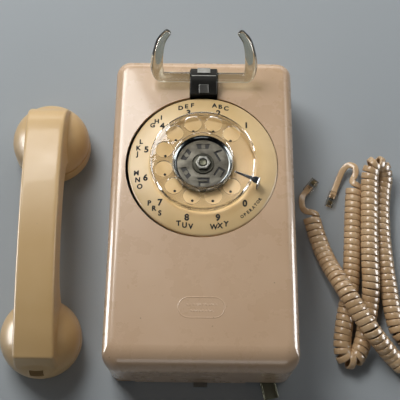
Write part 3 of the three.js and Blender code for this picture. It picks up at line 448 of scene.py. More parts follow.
# ---- cord: one flat cord wound into a coil along a route, with a modular plug at each end
cord = {
    "coilRadius": 5.6, "pitch": 4.92, "openPitch": 13, "openReach": 3.5, "pointsPerTurn": 18,
    "width": 4.7, "thickness": 2.3, "sectionPoints": 12,
    "coilRoute": [
        (82, 14, 7), (84, 7.5, 7), (87.2, -4, 7), (91.6, -17.5, 7.4), (96.6, -30.4, 11),
        (102.4, -43, 17), (108.2, -54.2, 20.6), (113.7, -64, 21.2), (119.1, -73, 21.2), (124.7, -80.8, 20.2),
        (131.8, -88.8, 15.6), (140.6, -97.4, 9), (149, -104.4, 7), (159, -107.6, 7), (167.5, -102.6, 7),
        (167.6, -93.5, 7), (160, -87.2, 7), (151.6, -83.6, 7), (145.8, -76, 7), (142.6, -62, 7),
        (140.6, -45, 7), (138.6, -26, 7), (137.4, -7, 7), (137.4, 12, 7), (138.8, 29, 7),
        (140.4, 40, 9), (138, 47.6, 14), (132, 48.4, 17.6), (128.6, 41, 17), (127.8, 28, 15.8),
        (127, 8, 15.2), (126.4, -10, 15), (126.2, -28, 14.6), (126.4, -46, 12.4), (125.6, -61, 8.2),
        (122.4, -76, 7), (118.6, -90, 7), (113.2, -99.4, 7), (106.6, -98.4, 7), (104.6, -89, 7),
        (106.4, -73, 7), (109.6, -57, 7), (112.2, -42, 7), (113.8, -25, 7), (114.8, -7, 7),
        (115.8, 12, 7), (117.2, 28, 7), (118, 37.5, 7),
    ],
    "tailA": [(77.2, 16.6, 7), (76.6, 20.4, 6.2), (77, 24.2, 4.6), (78.2, 27.6, 3), (80.4, 30.4, 2.4)],
    "tailB": [(118.4, 40.6, 8), (119.4, 45.2, 8.6), (118, 49.8, 8), (113.6, 51.4, 6.6), (109.6, 48.2, 5),
              (106.6, 42, 3.4), (104.2, 36, 2.6), (102.2, 30.8, 2.4)],
}


# Middle points of the wound cord and the way its flat side faces, from the coil's first turn to its last.
def coilStations():
    route = smoothPath([Vector(p) for p in cord["coilRoute"]], 24)
    lengths = [0]
    for a, b in zip(route, route[1:]):
        lengths.append(lengths[-1] + (b - a).length)
    total, reach = lengths[-1], cord["openReach"]
    outward, stations, turn, along, span = Vector((-0.96, -0.29, 0)), [], 0.0, 0.0, 0
    while along < total:
        while lengths[span + 1] < along:
            span += 1
        tangent = (route[span + 1] - route[span]).normalized()
        centre = route[span].lerp(route[span + 1], (along - lengths[span]) / (lengths[span + 1] - lengths[span]))
        outward = (outward - tangent * outward.dot(tangent)).normalized()
        radial = outward * math.cos(turn) - tangent.cross(outward) * math.sin(turn)
        stations.append((centre + radial * cord["coilRadius"], radial))
        open = math.exp(-along / reach) + math.exp((along - total) / reach)
        along += (cord["pitch"] + (cord["openPitch"] - cord["pitch"]) * open) / cord["pointsPerTurn"]
        turn += 2 * math.pi / cord["pointsPerTurn"]
    return stations


def tailStations(points):
    up = Vector((0, 0, 1))
    return [(p, up) for p in smoothPath([Vector(p) for p in points], 5)]


# Lets the cord bend softly where a tail meets the coil.
def easeJoin(stations, at, reach, rounds):
    low, high = max(1, at - reach), min(len(stations) - 1, at + reach)
    for _ in range(rounds):
        for i in range(low, high):
            before, here, after = stations[i - 1], stations[i], stations[i + 1]
            stations[i] = tuple((b + 2 * h + a) / 4 for b, h, a in zip(before, here, after))


def makeCord():
    first, last = tailStations(cord["tailA"])[::-1], tailStations(cord["tailB"])
    coil = coilStations()
    stations = first + coil + last
    easeJoin(stations, len(first), 9, 12)
    easeJoin(stations, len(first) + len(coil), 9, 12)
    bm = bmesh.new()
    rings = []
    for i, (centre, facing) in enumerate(stations):
        ahead = stations[min(i + 1, len(stations) - 1)][0] - stations[max(i - 1, 0)][0]
        ahead.normalize()
        up = (facing - ahead * facing.dot(ahead)).normalized()
        rings.append(superRing(centre, ahead.cross(up), up, cord["width"] / 2, cord["thickness"] / 2, cord["sectionPoints"], 4.5))
    addRings(bm, rings)
    mesh = meshFrom(bm, "curly_cord_wound", crease=60)
    piece = addPiece("curly_cord_wound", mesh, finishes["cord_plastic"], "phone",
                     ["curly_cord", "cord_tail_a", "cord_tail_b"])
    return piece, [p * mm for p, facing in stations]


plug = {"length": 11.7, "width": 6.5, "height": 4.1, "clearance": 0.7, "contacts": 4, "contactPitch": 1.02}


def plugPlace(tail):
    end, before = Vector(tail[-1]), Vector(tail[-2])
    heading = math.atan2(end.y - before.y, end.x - before.x)
    return Matrix.Translation((end.x, end.y, 0.15)) @ Matrix.Rotation(heading, 4, "Z")


def makePlug(letter, tail):
    place = plugPlace(tail)
    start, end = plug["clearance"], plug["clearance"] + plug["length"]
    half, height = plug["width"] / 2, plug["height"]
    bm = bmesh.new()
    addBox(bm, (start, -half, 0), (end, half, height), place)
    body = addPiece("cord_plug_%s_body" % letter, meshFrom(bm, "plug"), finishes["clear_plastic"], "phone",
                    ["cord_plug_" + letter])
    roundEdges(body, 0.35)
    bm = bmesh.new()
    addBox(bm, (start + 2.2, -1.6, height + 0.15), (end - 0.6, 1.6, height + 0.75), place)
    latch = addPiece("cord_plug_%s_latch" % letter, meshFrom(bm, "latch"), finishes["clear_plastic"], "phone")
    roundEdges(latch, 0.2)
    bm = bmesh.new()
    for i in range(plug["contacts"]):
        side = (i - (plug["contacts"] - 1) / 2) * plug["contactPitch"]
        addBox(bm, (end - 4.2, side - 0.2, 0.5), (end - 0.7, side + 0.2, height - 0.9), place)
    contacts = addPiece("cord_plug_%s_contacts" % letter, meshFrom(bm, "contacts"), finishes["brass"], "phone")
    bm = bmesh.new()
    addBox(bm, (start - 0.5, -2.2, 1), (start + 5, 2.2, height - 1.1), place)
    lead = addPiece("cord_plug_%s_lead" % letter, meshFrom(bm, "lead"), finishes["cord_plastic"], "phone")
    return [body, latch, contacts, lead]


flatCord, cordPath = makeCord()
plugPieces = makePlug("a", cord["tailA"]) + makePlug("b", cord["tailB"])


# ---- housing
housing = {
    "length": 234, "widthTop": 131, "widthBottom": 134.5, "depth": 64, "lean": math.radians(4.5), "wall": 2.6,
    "planRadius": 11, "edgeRadius": 7.5, "bottomRadius": 16, "faceCornerTop": 3.6, "faceCornerBottom": 5,
    "cornerPoints": 10, "roundSteps": 10,
    "dialHole": 55.1, "dialHoleShift": (-0.9, 0.25), "slotWidth": 20.8, "slotTop": 108.3, "slotFloor": 50,
    "badgeY": -74.2, "badgeHalf": (16, 7.2),
}


def faceHeight(y):
    return housing["depth"] - math.tan(housing["lean"]) * y


# Points and outward directions of a four sided outline, from its lower left corner round.
def roundedCorners(halfTop, halfBottom, top, bottom, radiusTop, radiusBottom, count):
    spots = []
    corners = [(-halfBottom, bottom, radiusBottom, 180), (halfBottom, bottom, radiusBottom, 270),
               (halfTop, top, radiusTop, 0), (-halfTop, top, radiusTop, 90)]
    for x, y, radius, start in corners:
        cx, cy = x - math.copysign(radius, x), y - math.copysign(radius, y)
        for i in range(count + 1):
            angle = math.radians(start + 90 * i / count)
            out = Vector((math.cos(angle), math.sin(angle)))
            spots.append((Vector((cx, cy)) + out * radius, out))
    return spots


def housingShell():
    h = housing
    end = h["length"] / 2
    wall = roundedCorners(h["widthTop"] / 2, h["widthBottom"] / 2, end, -end, h["planRadius"], h["planRadius"],
                          h["cornerPoints"])
    edge, low = h["edgeRadius"], h["bottomRadius"]
    face = roundedCorners(h["widthTop"] / 2 - edge, h["widthBottom"] / 2 - edge, end - edge, low - end,
                          h["faceCornerTop"], h["faceCornerBottom"], h["cornerPoints"])

    def ring(step):
        angle = math.radians(90 * step / h["roundSteps"])
        points = []
        for (p, out), (q, _) in zip(wall, face):
            share = max(0.0, -out.y)
            drop = edge + (low - edge) * share * share * (3 - 2 * share)
            spot = p.lerp(q, 1 - math.cos(angle))
            points.append(Vector((spot.x, spot.y, faceHeight(spot.y) - drop * (1 - math.sin(angle)))))
        return points
    rings = [[Vector((p.x, p.y, 0)) for p, out in wall]] + [ring(step) for step in range(h["roundSteps"] + 1)]
    inner = []
    for point in rings[-1]:
        spot = point.copy()
        spot.x -= math.copysign(1.0, spot.x)
        spot.y -= math.copysign(1.0, spot.y)
        spot.z = faceHeight(spot.y)
        inner.append(spot)
    bm = bmesh.new()
    loops = addRings(bm, rings + [inner], closeEnds=False)
    bm.faces.new(loops[-1])
    return meshFrom(bm, "housing_shell")


def dialPlacement():
    joint = next(j for j in frame["joints"] if j["name"] == "dial_turn")
    centre, axis = Vector(joint["pos_m"]) / mm, Vector(joint["axis"])
    return Matrix.Translation(centre) @ Matrix.Rotation(-math.atan2(axis.y, axis.z), 4, "X")


dialPlace = dialPlacement()


def makeHousing():
    h = housing
    shell = addPiece("housing_shell", housingShell(), finishes["housing_plastic"], "phone",
                     ["housing"])
    thick = shell.modifiers.new("wall", "SOLIDIFY")
    thick.thickness = h["wall"] * mm
    thick.offset = -1
    thick.use_even_offset = False
    applyModifiers(shell)
    bm = bmesh.new()
    shiftX, shiftY = h["dialHoleShift"]
    addDisc(bm, h["dialHole"], -15, 10, 160, dialPlace @ Matrix.Translation((shiftX, shiftY, 0)))
    cutWith(shell, bm)
    end = h["length"] / 2
    for low, high in (
        ((-h["slotWidth"] / 2, 60, h["slotFloor"]), (h["slotWidth"] / 2, h["slotTop"], 90)),
        ((-61.4, -end - 5, -10), (-48, -end + 5, 9.8)),
        ((33, -end - 5, -10), (59, -end + 5, 5.2)),
        ((-5.6, -end - 5, -10), (5.6, -end + 5, 2.2)),
    ):
        bm = bmesh.new()
        addBox(bm, low, high)
        cutWith(shell, bm)
    roundEdges(shell, 0.45, 2, 50)
    evenShading(shell)
    return shell


# A raised capsule outline with two rows of plain dashes, standing just proud of the face.
def makeBadge():
    halfWidth, halfHeight = housing["badgeHalf"]
    middle = housing["badgeY"]
    lean = Matrix.Translation((0, middle, faceHeight(middle) - 0.22)) @ Matrix.Rotation(-housing["lean"], 4, "X")
    bm = bmesh.new()
    straight = halfWidth - halfHeight
    ring = []
    for side, start in ((1, -90), (-1, 90)):
        for i in range(13):
            angle = math.radians(start + 15 * i)
            ring.append(Vector((side * straight + halfHeight * math.cos(angle), halfHeight * math.sin(angle), 0)))
    rings = []
    for i, spot in enumerate(ring):
        ahead = (ring[(i + 1) % len(ring)] - ring[i - 1]).normalized()
        rings.append(superRing(spot, Vector((ahead.y, -ahead.x, 0)), Vector((0, 0, 1)), 0.55, 0.4, 10, 2))
    loops = addRings(bm, rings, closeEnds=False)
    for i in range(10):
        j = (i + 1) % 10
        bm.faces.new((loops[-1][i], loops[-1][j], loops[0][j], loops[0][i]))
    for y, halfRow, count in ((2.1, 11, 10), (-2.3, 8, 8)):
        for i in range(count):
            x = -halfRow + 2 * halfRow * (i + 0.5) / count
            addBox(bm, (x - 0.75, y - 0.8, -0.3), (x + 0.75, y + 0.8, 0.3))
    badge = addPiece("housing_badge", meshFrom(bm, "housing_badge", lean), finishes["housing_plastic"], "phone")
    return roundEdges(badge, 0.2, 2, 50)


makeHousing()
makeBadge()
print("housing made")


# ---- dial
dial = {
    "plateRadius": 54, "plateRim": 0.6, "plateRidge": 3.0, "plateMiddle": -0.5, "dishRadius": 36.5, "bore": 7.4,
    "wheelRadius": 38, "wheelTop": 11.2, "webThickness": 1.8, "wheelSkirt": 6, "holeRadius": 6.3,
    "rimWidth": 1.6, "holeCircle": 28.8, "holePitch": 30, "firstHole": 45,
    "hubRadius": 22, "hubPlate": 20.4, "hubBottom": 2.2, "hubDepth": 2.8, "washerRadius": 8, "washerBottom": 3.3,
    "nutRadius": 5.4, "nutBottom": 4.2, "nutTop": 6, "shaftRadius": 2.5, "shaftTop": 6.8,
    "stopAngle": 113, "stopBottom": 11.6, "stopTop": 12.9,
}
digits = {"1": "", "2": "ABC", "3": "DEF", "4": "GHI", "5": "JKL", "6": "MNO", "7": "PRS", "8": "TUV", "9": "WXY",
          "0": ""}
lettering = {
    "digitCircle": 42.4, "digitSize": 6.5, "letterCircle": 48.2, "letterSize": 5, "letterStep": 5.3,
    "smallCircle": 48.5, "smallSize": 2.9, "smallStep": 3.15, "smallMiddle": 133.7,
    "dotCircle": 28.2, "dotRadius": 1.0, "weight": 0.045, "lift": 0.07,
}


def around(radius, clockwise):
    angle = math.radians(90 - clockwise)
    return Vector((radius * math.cos(angle), radius * math.sin(angle), 0))


# Height of the number plate's top over the face, from the ridge round the wheel down to the rim.
def plateHeight(radius):
    ridgeOut = dial["wheelRadius"] + 1
    ramp = min(1.0, max(0.0, (radius - ridgeOut) / (dial["plateRadius"] - 1.2 - ridgeOut)))
    return dial["plateRidge"] + (dial["plateRim"] - dial["plateRidge"]) * (0.4 * ramp + 0.6 * ramp * ramp)


def makeNumberPlate():
    d = dial
    rim, middle, wheel = d["plateRadius"], d["plateMiddle"], d["wheelRadius"]
    profile = [(d["bore"], middle - 1.6), (d["bore"], middle), (d["dishRadius"] - 1, middle),
               (d["dishRadius"] - 0.1, middle + 0.5), (wheel - 0.6, 2.3), (wheel, 2.8)]
    profile += [(r, plateHeight(r)) for r in [wheel + 0.6 + i * 1.2 for i in range(13)]]
    profile += [(rim - 0.6, 0.35), (rim - 0.2, -0.05), (rim, -0.7), (rim, -2.5), (rim - 2, -2.5), (rim - 2, -1.2),
                (wheel + 1.6, 1.2), (d["dishRadius"] + 1.4, middle - 1.8)]
    return addPiece("number_plate_face", turnedMesh("number_plate_face", profile, dialPlace, 160),
                    finishes["dial_plastic"], "phone", ["number_plate"])


# One character, centred on a spot of the dial and laid on the plate's slope.
def addLetter(bm, text, size, spot, turn=0.0):
    curve = bpy.data.curves.new("letter", "FONT")
    curve.body = text
    curve.size = size
    curve.offset = lettering["weight"] * size
    curve.resolution_u = 4
    holder = bpy.data.objects.new("letter", curve)
    bpy.context.scene.collection.objects.link(holder)
    bpy.context.view_layer.update()
    flat = bpy.data.meshes.new_from_object(holder.evaluated_get(bpy.context.evaluated_depsgraph_get()))
    bpy.data.objects.remove(holder)
    xs, ys = [v.co.x for v in flat.vertices], [v.co.y for v in flat.vertices]
    middle = Vector(((min(xs) + max(xs)) / 2, (min(ys) + max(ys)) / 2, 0))
    flat.transform(Matrix.Translation(spot) @ Matrix.Rotation(turn, 4, "Z") @ Matrix.Translation(-middle))
    known = len(bm.verts)
    bm.from_mesh(flat)
    bm.verts.ensure_lookup_table()
    for v in bm.verts[known:]:
        v.co.z = plateHeight(math.hypot(v.co.x, v.co.y)) + lettering["lift"]
    bpy.data.meshes.remove(flat)


def makeLettering():
    bm = bmesh.new()
    for i, (digit, letters) in enumerate(digits.items()):
        angle = dial["firstHole"] - i * dial["holePitch"]
        addLetter(bm, digit, lettering["digitSize"], around(lettering["digitCircle"] + (2 if digit == "1" else 0), angle))
        leftHalf = 45 < -angle % 360 < 150
        for place, letter in enumerate(letters):
            step = (place - 1) * lettering["letterStep"] * (1.2 if leftHalf else 1)
            lowerHalf = 150 <= -angle % 360 <= 210
            reading = -step if lowerHalf or letters in ("MNO", "PRS") else step
            addLetter(bm, letter, lettering["letterSize"], around(lettering["letterCircle"], angle + reading))
    word = "OPERATOR"
    for place, letter in enumerate(word):
        angle = lettering["smallMiddle"] - (place - (len(word) - 1) / 2) * lettering["smallStep"]
        addLetter(bm, letter, lettering["smallSize"], around(lettering["smallCircle"], angle), math.radians(180 - angle))
    for i in range(10):
        spot = around(lettering["dotCircle"], dial["firstHole"] - i * dial["holePitch"])
        dot = bmesh.ops.create_circle(bm, cap_ends=True, segments=16, radius=lettering["dotRadius"],
                                      matrix=Matrix.Translation(spot))
        for v in dot["verts"]:
            v.co.z = dial["plateMiddle"] + lettering["lift"]
    bmesh.ops.triangulate(bm, faces=bm.faces)
    mesh = bpy.data.meshes.new("dial_lettering")
    for face in bm.faces:
        if face.normal.z < 0:
            face.normal_flip()
    bm.transform(Matrix.Scale(mm, 4) @ dialPlace)
    bm.to_mesh(mesh)
    bm.free()
    return addPiece("dial_lettering", mesh, inkBlack, "phone")


# Clear wheel: a flat web with a deep rim and a collar down to the hub, cut through by ten finger holes.
def makeFingerWheel():
    d = dial
    top, low = d["wheelTop"], d["wheelTop"] - d["webThickness"]
    web, rim, skirt = d["wheelRadius"] - d["rimWidth"], d["wheelRadius"], d["wheelSkirt"]
    hub, seat = d["hubRadius"] - 0.8, d["hubBottom"] + d["hubDepth"] + 0.3
    profile = [(hub, seat), (hub + 0.8, seat), (hub + 0.9, low), (web, low), (web, skirt + 0.4), (web + 0.4, skirt),
               (rim - 0.6, skirt), (rim, skirt + 0.6), (rim, top - 1), (rim - 0.3, top - 0.3), (rim - 1, top),
               (hub + 0.5, top), (hub, top - 0.5)]
    wheel = addPiece("finger_wheel_clear", turnedMesh("finger_wheel_clear", profile, dialPlace, 128),
                     finishes["clear_plastic"], "dial_wheel", ["finger_wheel"])
    bm = bmesh.new()
    for i in range(len(digits)):
        spot = around(d["holeCircle"], d["firstHole"] - i * d["holePitch"])
        addDisc(bm, d["holeRadius"], low - 2, top + 2, 56, dialPlace @ Matrix.Translation(spot))
    cutWith(wheel, bm)
    roundEdges(wheel, 0.55, 3, 60)
    return evenShading(wheel)


# A pressed window of the hub, drawn with its middle at the top and then turned.
def windowOutline(turn, shape):
    shapes = {
        "plain": [(-3.8, 11.8), (3.8, 11.8), (5, 15.8), (-5, 15.8)],
        "hook": [(-4, 10.8), (3.6, 10.8), (3.6, 12.2), (-2.4, 12.2), (-2.4, 15.6), (2.6, 15.6), (2.6, 17), (-4, 17)],
        "ell": [(-4.2, 11.2), (4.4, 11.2), (4.4, 12.8), (-2.4, 12.8), (-1.8, 17.4), (-3.4, 17.4)],
        "wave": [(-4.8, 10.8), (3.8, 10.8), (3.8, 12.2), (-3.2, 12.2), (-3.2, 13.8), (3, 13.8), (3, 17.2),
                 (1.6, 17.2), (1.6, 15.2), (-4.8, 15.2)],
    }
    angle = math.radians(-turn)
    return [(x * math.cos(angle) - y * math.sin(angle), x * math.sin(angle) + y * math.cos(angle))
            for x, y in reversed(shapes[shape])]


# The sunk hub: a pressed steel plate with six windows in a bright ring, with a black disc under it as painted shade in
# the windows, under a washer and a nut.
def makeHub():
    d = dial
    bottom = d["hubBottom"]
    windows = [(0, "plain"), (60, "ell"), (120, "hook"), (180, "wave"), (240, "plain"), (300, "plain")]
    outlines = [circlePoints(d["hubPlate"] - 0.05, 96), circlePoints(d["shaftRadius"] + 0.3, 24, (0, 0), True)]
    outlines += [windowOutline(turn, shape) for turn, shape in windows]
    addPiece("hub_plate_pressed", outlineCurve("hub_plate_pressed", outlines, bottom + 0.25, bottom + 0.8, 0.12,
                                               dialPlace),
             finishes["hub_steel"], "dial_wheel", ["hub_plate"])
    # A thin black disc under the plate paints the shade seen through its windows.
    shade = [(d["shaftRadius"] + 0.3, bottom), (d["hubPlate"] - 0.3, bottom), (d["hubPlate"] - 0.3, bottom + 0.15),
             (d["shaftRadius"] + 0.3, bottom + 0.15)]
    addPiece("hub_painted_shade", turnedMesh("hub_painted_shade", shade, dialPlace), finishes["black_plastic"], "dial_wheel")
    bm = bmesh.new()
    for turn, tilt in ((240, 20), (300, -25), (0, 4)):
        spot = around(14, turn)
        place = Matrix.Translation((spot.x, spot.y, bottom + 0.35)) @ Matrix.Rotation(math.radians(tilt - turn), 4, "Z")
        addBox(bm, (-1.2, -1.7, -0.12), (1.5, 1.5, 0.12), place)
    addPiece("hub_fingers", meshFrom(bm, "hub_fingers", dialPlace), finishes["hub_steel"], "dial_wheel")
    inner, outer, rise = d["hubPlate"] - 1.8, d["hubRadius"], bottom + d["hubDepth"]
    rim = [(inner, bottom + 0.85), (inner + 0.8, bottom + 0.9), (inner + 1.9, bottom + 1.7), (outer - 1, rise - 0.15),
           (outer - 0.5, rise), (outer - 0.15, rise - 0.15), (outer, rise - 0.6), (outer, bottom), (outer - 0.4, bottom),
           (outer - 0.7, rise - 1.2), (inner + 1.9, bottom + 1.1), (inner + 1, bottom + 0.82)]
    addPiece("hub_rim_turned", turnedMesh("hub_rim_turned", rim, dialPlace, 120, crease=50), finishes["hub_chrome"],
             "dial_wheel", ["hub_rim"])
    low = d["washerBottom"]
    washer = [(d["shaftRadius"] + 0.3, low), (d["washerRadius"], low), (d["washerRadius"], low + 0.3),
              (d["washerRadius"] - 0.5, low + 0.6), (6.6, low + 0.45), (6.1, low + 0.6), (d["shaftRadius"] + 0.3, low + 0.6)]
    addPiece("hub_washer_turned", turnedMesh("hub_washer_turned", washer, dialPlace, 64), finishes["washer_steel"],
             "dial_wheel", ["hub_washer"])
    hexagon = circlePoints(d["nutRadius"], 6)
    nut = outlineCurve("dial_nut_cut", [hexagon, circlePoints(3.1, 32, (0, 0), True)], d["nutBottom"], d["nutTop"], 0.35,
                       dialPlace)
    addPiece("dial_nut_cut", nut, finishes["nut_steel"], "dial_wheel", ["dial_nut"])
    end = d["nutTop"]
    shaft = [(0, -30), (2.5, -30), (2.5, end - 0.5), (2.2, end - 0.2), (1.2, end - 0.6), (0, end - 0.5)]
    addPiece("dial_shaft_turned", turnedMesh("dial_shaft_turned", shaft, dialPlace, 40, closed=False),
             finishes["dark_olive"], "dial_wheel", ["dial_shaft"])


# A thin bright finger over the wheel that widens to a bent block and goes down through the plate as a foot, whose
# duller steel is painted shade on its vertical side.
def makeFingerStop():
    bottom, top = dial["stopBottom"], dial["stopTop"]
    place = dialPlace @ Matrix.Rotation(math.radians(90 - dial["stopAngle"]), 4, "Z")
    bm = bmesh.new()
    stations = [(24.4, 0.6, bottom + 0.3, bottom + 0.9), (28, 0.8, bottom + 0.1, top - 0.4), (34, 1.1, bottom, top - 0.2),
                (38.4, 1.6, bottom, top), (39.4, 2.4, bottom, top), (41.2, 2.6, bottom, top), (42.5, 2.6, bottom - 0.2, top - 0.4),
                (43.2, 2.6, bottom - 1.2, top - 1.4)]
    rings = [[Vector((r, -half, low)), Vector((r, half, low)), Vector((r, half, high)), Vector((r, -half, high))]
             for r, half, low, high in stations]
    addRings(bm, rings)
    stop = addPiece("finger_stop_bent", meshFrom(bm, "finger_stop_bent", place, 45), finishes["chrome"], "phone",
                    ["finger_stop"])
    roundEdges(stop, 0.35, 3, 35)
    bm = bmesh.new()
    # The foot is the same strip bent down; its duller steel finish paints the shade on this vertical side.
    addBox(bm, (42, -2.45, -4), (43.15, 2.45, bottom - 0.5), place)
    foot = addPiece("finger_stop_foot", meshFrom(bm, "finger_stop_foot"), finishes["steel"], "phone")
    return roundEdges(foot, 0.2, 2)


finishes["dark_olive"] = handledMetal("dark olive steel", colour(118, 118, 98), colour(84, 83, 68), 0.5, 0.4, 0.1, 0.5)
finishes["hub_steel"] = handledMetal("hub steel", colour(104, 101, 92), colour(66, 62, 54), 0.6, 0.42, 0.12, 0.85)
finishes["hub_chrome"] = handledMetal("hub chrome", colour(104, 108, 108), colour(54, 55, 53), 0.4, 0.14, 0.05)
finishes["washer_steel"] = handledMetal("washer steel", colour(60, 59, 50), colour(38, 37, 31), 0.5, 0.4, 0.1, 0.7)
finishes["nut_steel"] = handledMetal("nut steel", colour(150, 150, 144), colour(96, 94, 86), 0.4, 0.36, 0.08, 0.9)
makeNumberPlate()
makeLettering()
makeFingerWheel()
makeHub()
makeFingerStop()
print("dial made")


# ---- hook: clear fork in a black saddle over the slot
hook = {
    "barY": 99.3, "barRise": 7, "barHalf": 3.5, "cornerPoints": 14, "saddleHalf": 9.7, "sheet": 1.1,
    "halfRoute": [(0, 0, 0), (12, 0, 0), (24, 0, 0), (30.6, 0.1, 0.2), (33.6, 1.6, 2.8), (34.5, 5, 9.5),
                  (33.6, 10, 18), (31, 16.2, 26.8), (26.4, 20.2, 32.3)],
    "halfWidths": [3.5, 3.5, 3.5, 3.8, 4.3, 4.4, 3.9, 3.2, 2.5],
}


def forkRings():
    barZ = faceHeight(hook["barY"]) + hook["barRise"]
    half = [(Vector((x, hook["barY"] + y, barZ + z)), w) for (x, y, z), w in zip(hook["halfRoute"], hook["halfWidths"])]
    mirrored = [(Vector((-p.x, p.y, p.z)), w) for p, w in reversed(half[1:])]
    route = [Vector((p.x, p.y, p.z, w)) for p, w in mirrored + half]
    path = smoothPath(route, 7)
    up, rings = Vector((0, 1, 0)), []
    for i, spot in enumerate(path):
        ahead = (path[min(i + 1, len(path) - 1)].xyz - path[max(i - 1, 0)].xyz).normalized()
        up = (up - ahead * up.dot(ahead)).normalized()
        rings.append(superRing(spot.xyz, ahead.cross(up), up, spot.w, spot.w * 0.94, 20, 2.9))
    for end, inward in ((0, 1), (-1, -1)):
        centre = path[end].xyz
        step = (path[end].xyz - path[end + inward].xyz).normalized()
        for share, shrink in ((0.8, 0.93), (1.5, 0.72), (1.9, 0.35)):
            ring = [centre + (p - centre) * shrink + step * share for p in rings[end if not end else -1]]
            ring = [centre + (p - centre) * shrink + step * share for p in (rings[0] if end == 0 else rings[-1])] \
                if share == 0.8 else [centre + step * share + (p - centre - step * 0.8) * (shrink / 0.93)
                                      for p in base]
            if share == 0.8:
                base = ring
            if end == 0:
                rings.insert(0, ring)
            else:
                rings.append(ring)
    return rings


def makeFork():
    bm = bmesh.new()
    addRings(bm, forkRings())
    addPiece("hook_fork_clear", meshFrom(bm, "hook_fork_clear", crease=60), finishes["fork_plastic"], "hook",
             ["hook_fork"])


# Bent black sheet that holds the fork's bar from above, with a bright tongue in its back edge.
def makeSaddle():
    barZ = faceHeight(hook["barY"]) + hook["barRise"]
    over, t, y = barZ + hook["barHalf"] + 0.3, hook["sheet"], hook["barY"]
    bm = bmesh.new()
    front, back = y - hook["barHalf"], y + hook["barHalf"] + 0.3
    addProfile(bm, [(back, over - 7), (back + t, over - 7), (back + t, over + t), (front + 0.2, over + t),
                    (front - 3.7, over - 0.4), (front - 9.8, over - 4.9), (front - 9, over - 5.7),
                    (front - 3, over - 1.4), (front + 0.5, over), (back, over)],
               -hook["saddleHalf"], hook["saddleHalf"], "x")
    saddle = addPiece("hook_saddle", meshFrom(bm, "hook_saddle"), finishes["black_steel"], "hook", ["fork_clip"])
    roundEdges(saddle, 0.35, 3, 25)
    bm = bmesh.new()
    addBox(bm, (-4.7, y + 1.2, over + t + 0.05), (4.7, y + 5.2, over + t + 0.75))
    addBox(bm, (-9, y - 1.2, over + t + 0.02), (9, y - 0.5, over + t + 0.3))
    clip = addPiece("fork_clip_tongue", meshFrom(bm, "fork_clip_tongue"), finishes["steel"], "hook")
    roundEdges(clip, 0.15, 2, 30)
    bm = bmesh.new()
    lean = Matrix.Translation((0, y - 9.4, over - 2.4)) @ Matrix.Rotation(math.radians(33), 4, "X")
    addBox(bm, (-3.4, -3.1, 0.2), (3.4, 3.1, 0.9), lean)
    roundEdges(addPiece("hook_lever_pad", meshFrom(bm, "hook_lever_pad"), finishes["steel"], "hook"), 0.2, 2)


finishes["fork_plastic"] = clearPlastic("fork plastic", colour(190, 191, 178))
makeFork()
makeSaddle()
print("hook made")


# ---- handset: two cups and the handle between them, moulded as one, with screwed caps
handset = {
    "x": -117, "cups": (61.8, -86.3), "cupRadius": 29.3, "cupTilt": math.radians(8), "capHeight": 11, "capChamfer": 1.6,
    "width": 27.5, "height": 61.5, "draft": 0.004, "voxel": 0.9, "front": -112, "jackHalf": (5, 3.6), "jackZ": 25.5,
    "back": [(-107, 46.5), (-88, 52.5), (-55, 58.5), (-15, 61.5), (25, 60.5), (57, 56), (74.5, 49.5), (83, 38), (86.5, 26)],
    "inside": [(44, 26), (38, 34), (18, 40.5), (-15, 42), (-42, 39), (-58, 32), (-64, 26)],
    "dome": [(0, 11.6), (29.3, 11.6), (28.9, 17), (26.5, 24), (21.5, 31), (14, 36.5), (6, 38.6), (0, 38.9)],
}


def cupPlace(y):
    lift = (handset["cupRadius"] - handset["capChamfer"]) * math.sin(handset["cupTilt"])
    tilt = -handset["cupTilt"] if y > 0 else handset["cupTilt"]
    return Matrix.Translation((handset["x"], y, lift)) @ Matrix.Rotation(tilt, 4, "X")


def domeProfile():
    outside = smoothPath([Vector((r, z)) for r, z in handset["dome"][1:]], 6)
    return [handset["dome"][0]] + [(max(0.0, p.x), p.y) for p in outside]


def makeHandle():
    h = handset
    back = smoothPath([Vector(p) for p in h["back"]], 6)
    inside = smoothPath([Vector(p) for p in h["inside"]], 6)
    outline = [(p.x, p.y) for p in back + inside] + [(h["front"], 26)]
    bm = bmesh.new()
    addProfile(bm, outline, -h["width"] / 2, h["width"] / 2, "x")
    bmesh.ops.bevel(bm, geom=[e for e in bm.edges if len({round(v.co.x) for v in e.verts}) == 1], offset=2.2,
                    affect="EDGES", segments=3, profile=0.5, material=-1, clamp_overlap=True)
    for v in bm.verts:
        v.co.x = v.co.x * (1 + h["draft"] * (h["height"] - v.co.z)) + h["x"]
    for y in h["cups"]:
        addTurned(bm, domeProfile(), 96, False, cupPlace(y))
    handle = addPiece("handset_handle_moulded", meshFrom(bm, "handset_handle_moulded"), finishes["handset_plastic"],
                      "handset", ["handset_handle"])
    merged = handle.modifiers.new("one moulding", "REMESH")
    merged.mode = "VOXEL"
    merged.voxel_size = h["voxel"] * mm
    soft = handle.modifiers.new("soft", "SMOOTH")
    soft.iterations = 7
    applyModifiers(handle)
    bm = bmesh.new()
    halfWidth, halfHeight = h["jackHalf"]
    addBox(bm, (h["x"] - halfWidth, h["front"] - 6, h["jackZ"] - halfHeight),
           (h["x"] + halfWidth, h["front"] + 13.3, h["jackZ"] + halfHeight))
    cutWith(handle, bm)
    return handle


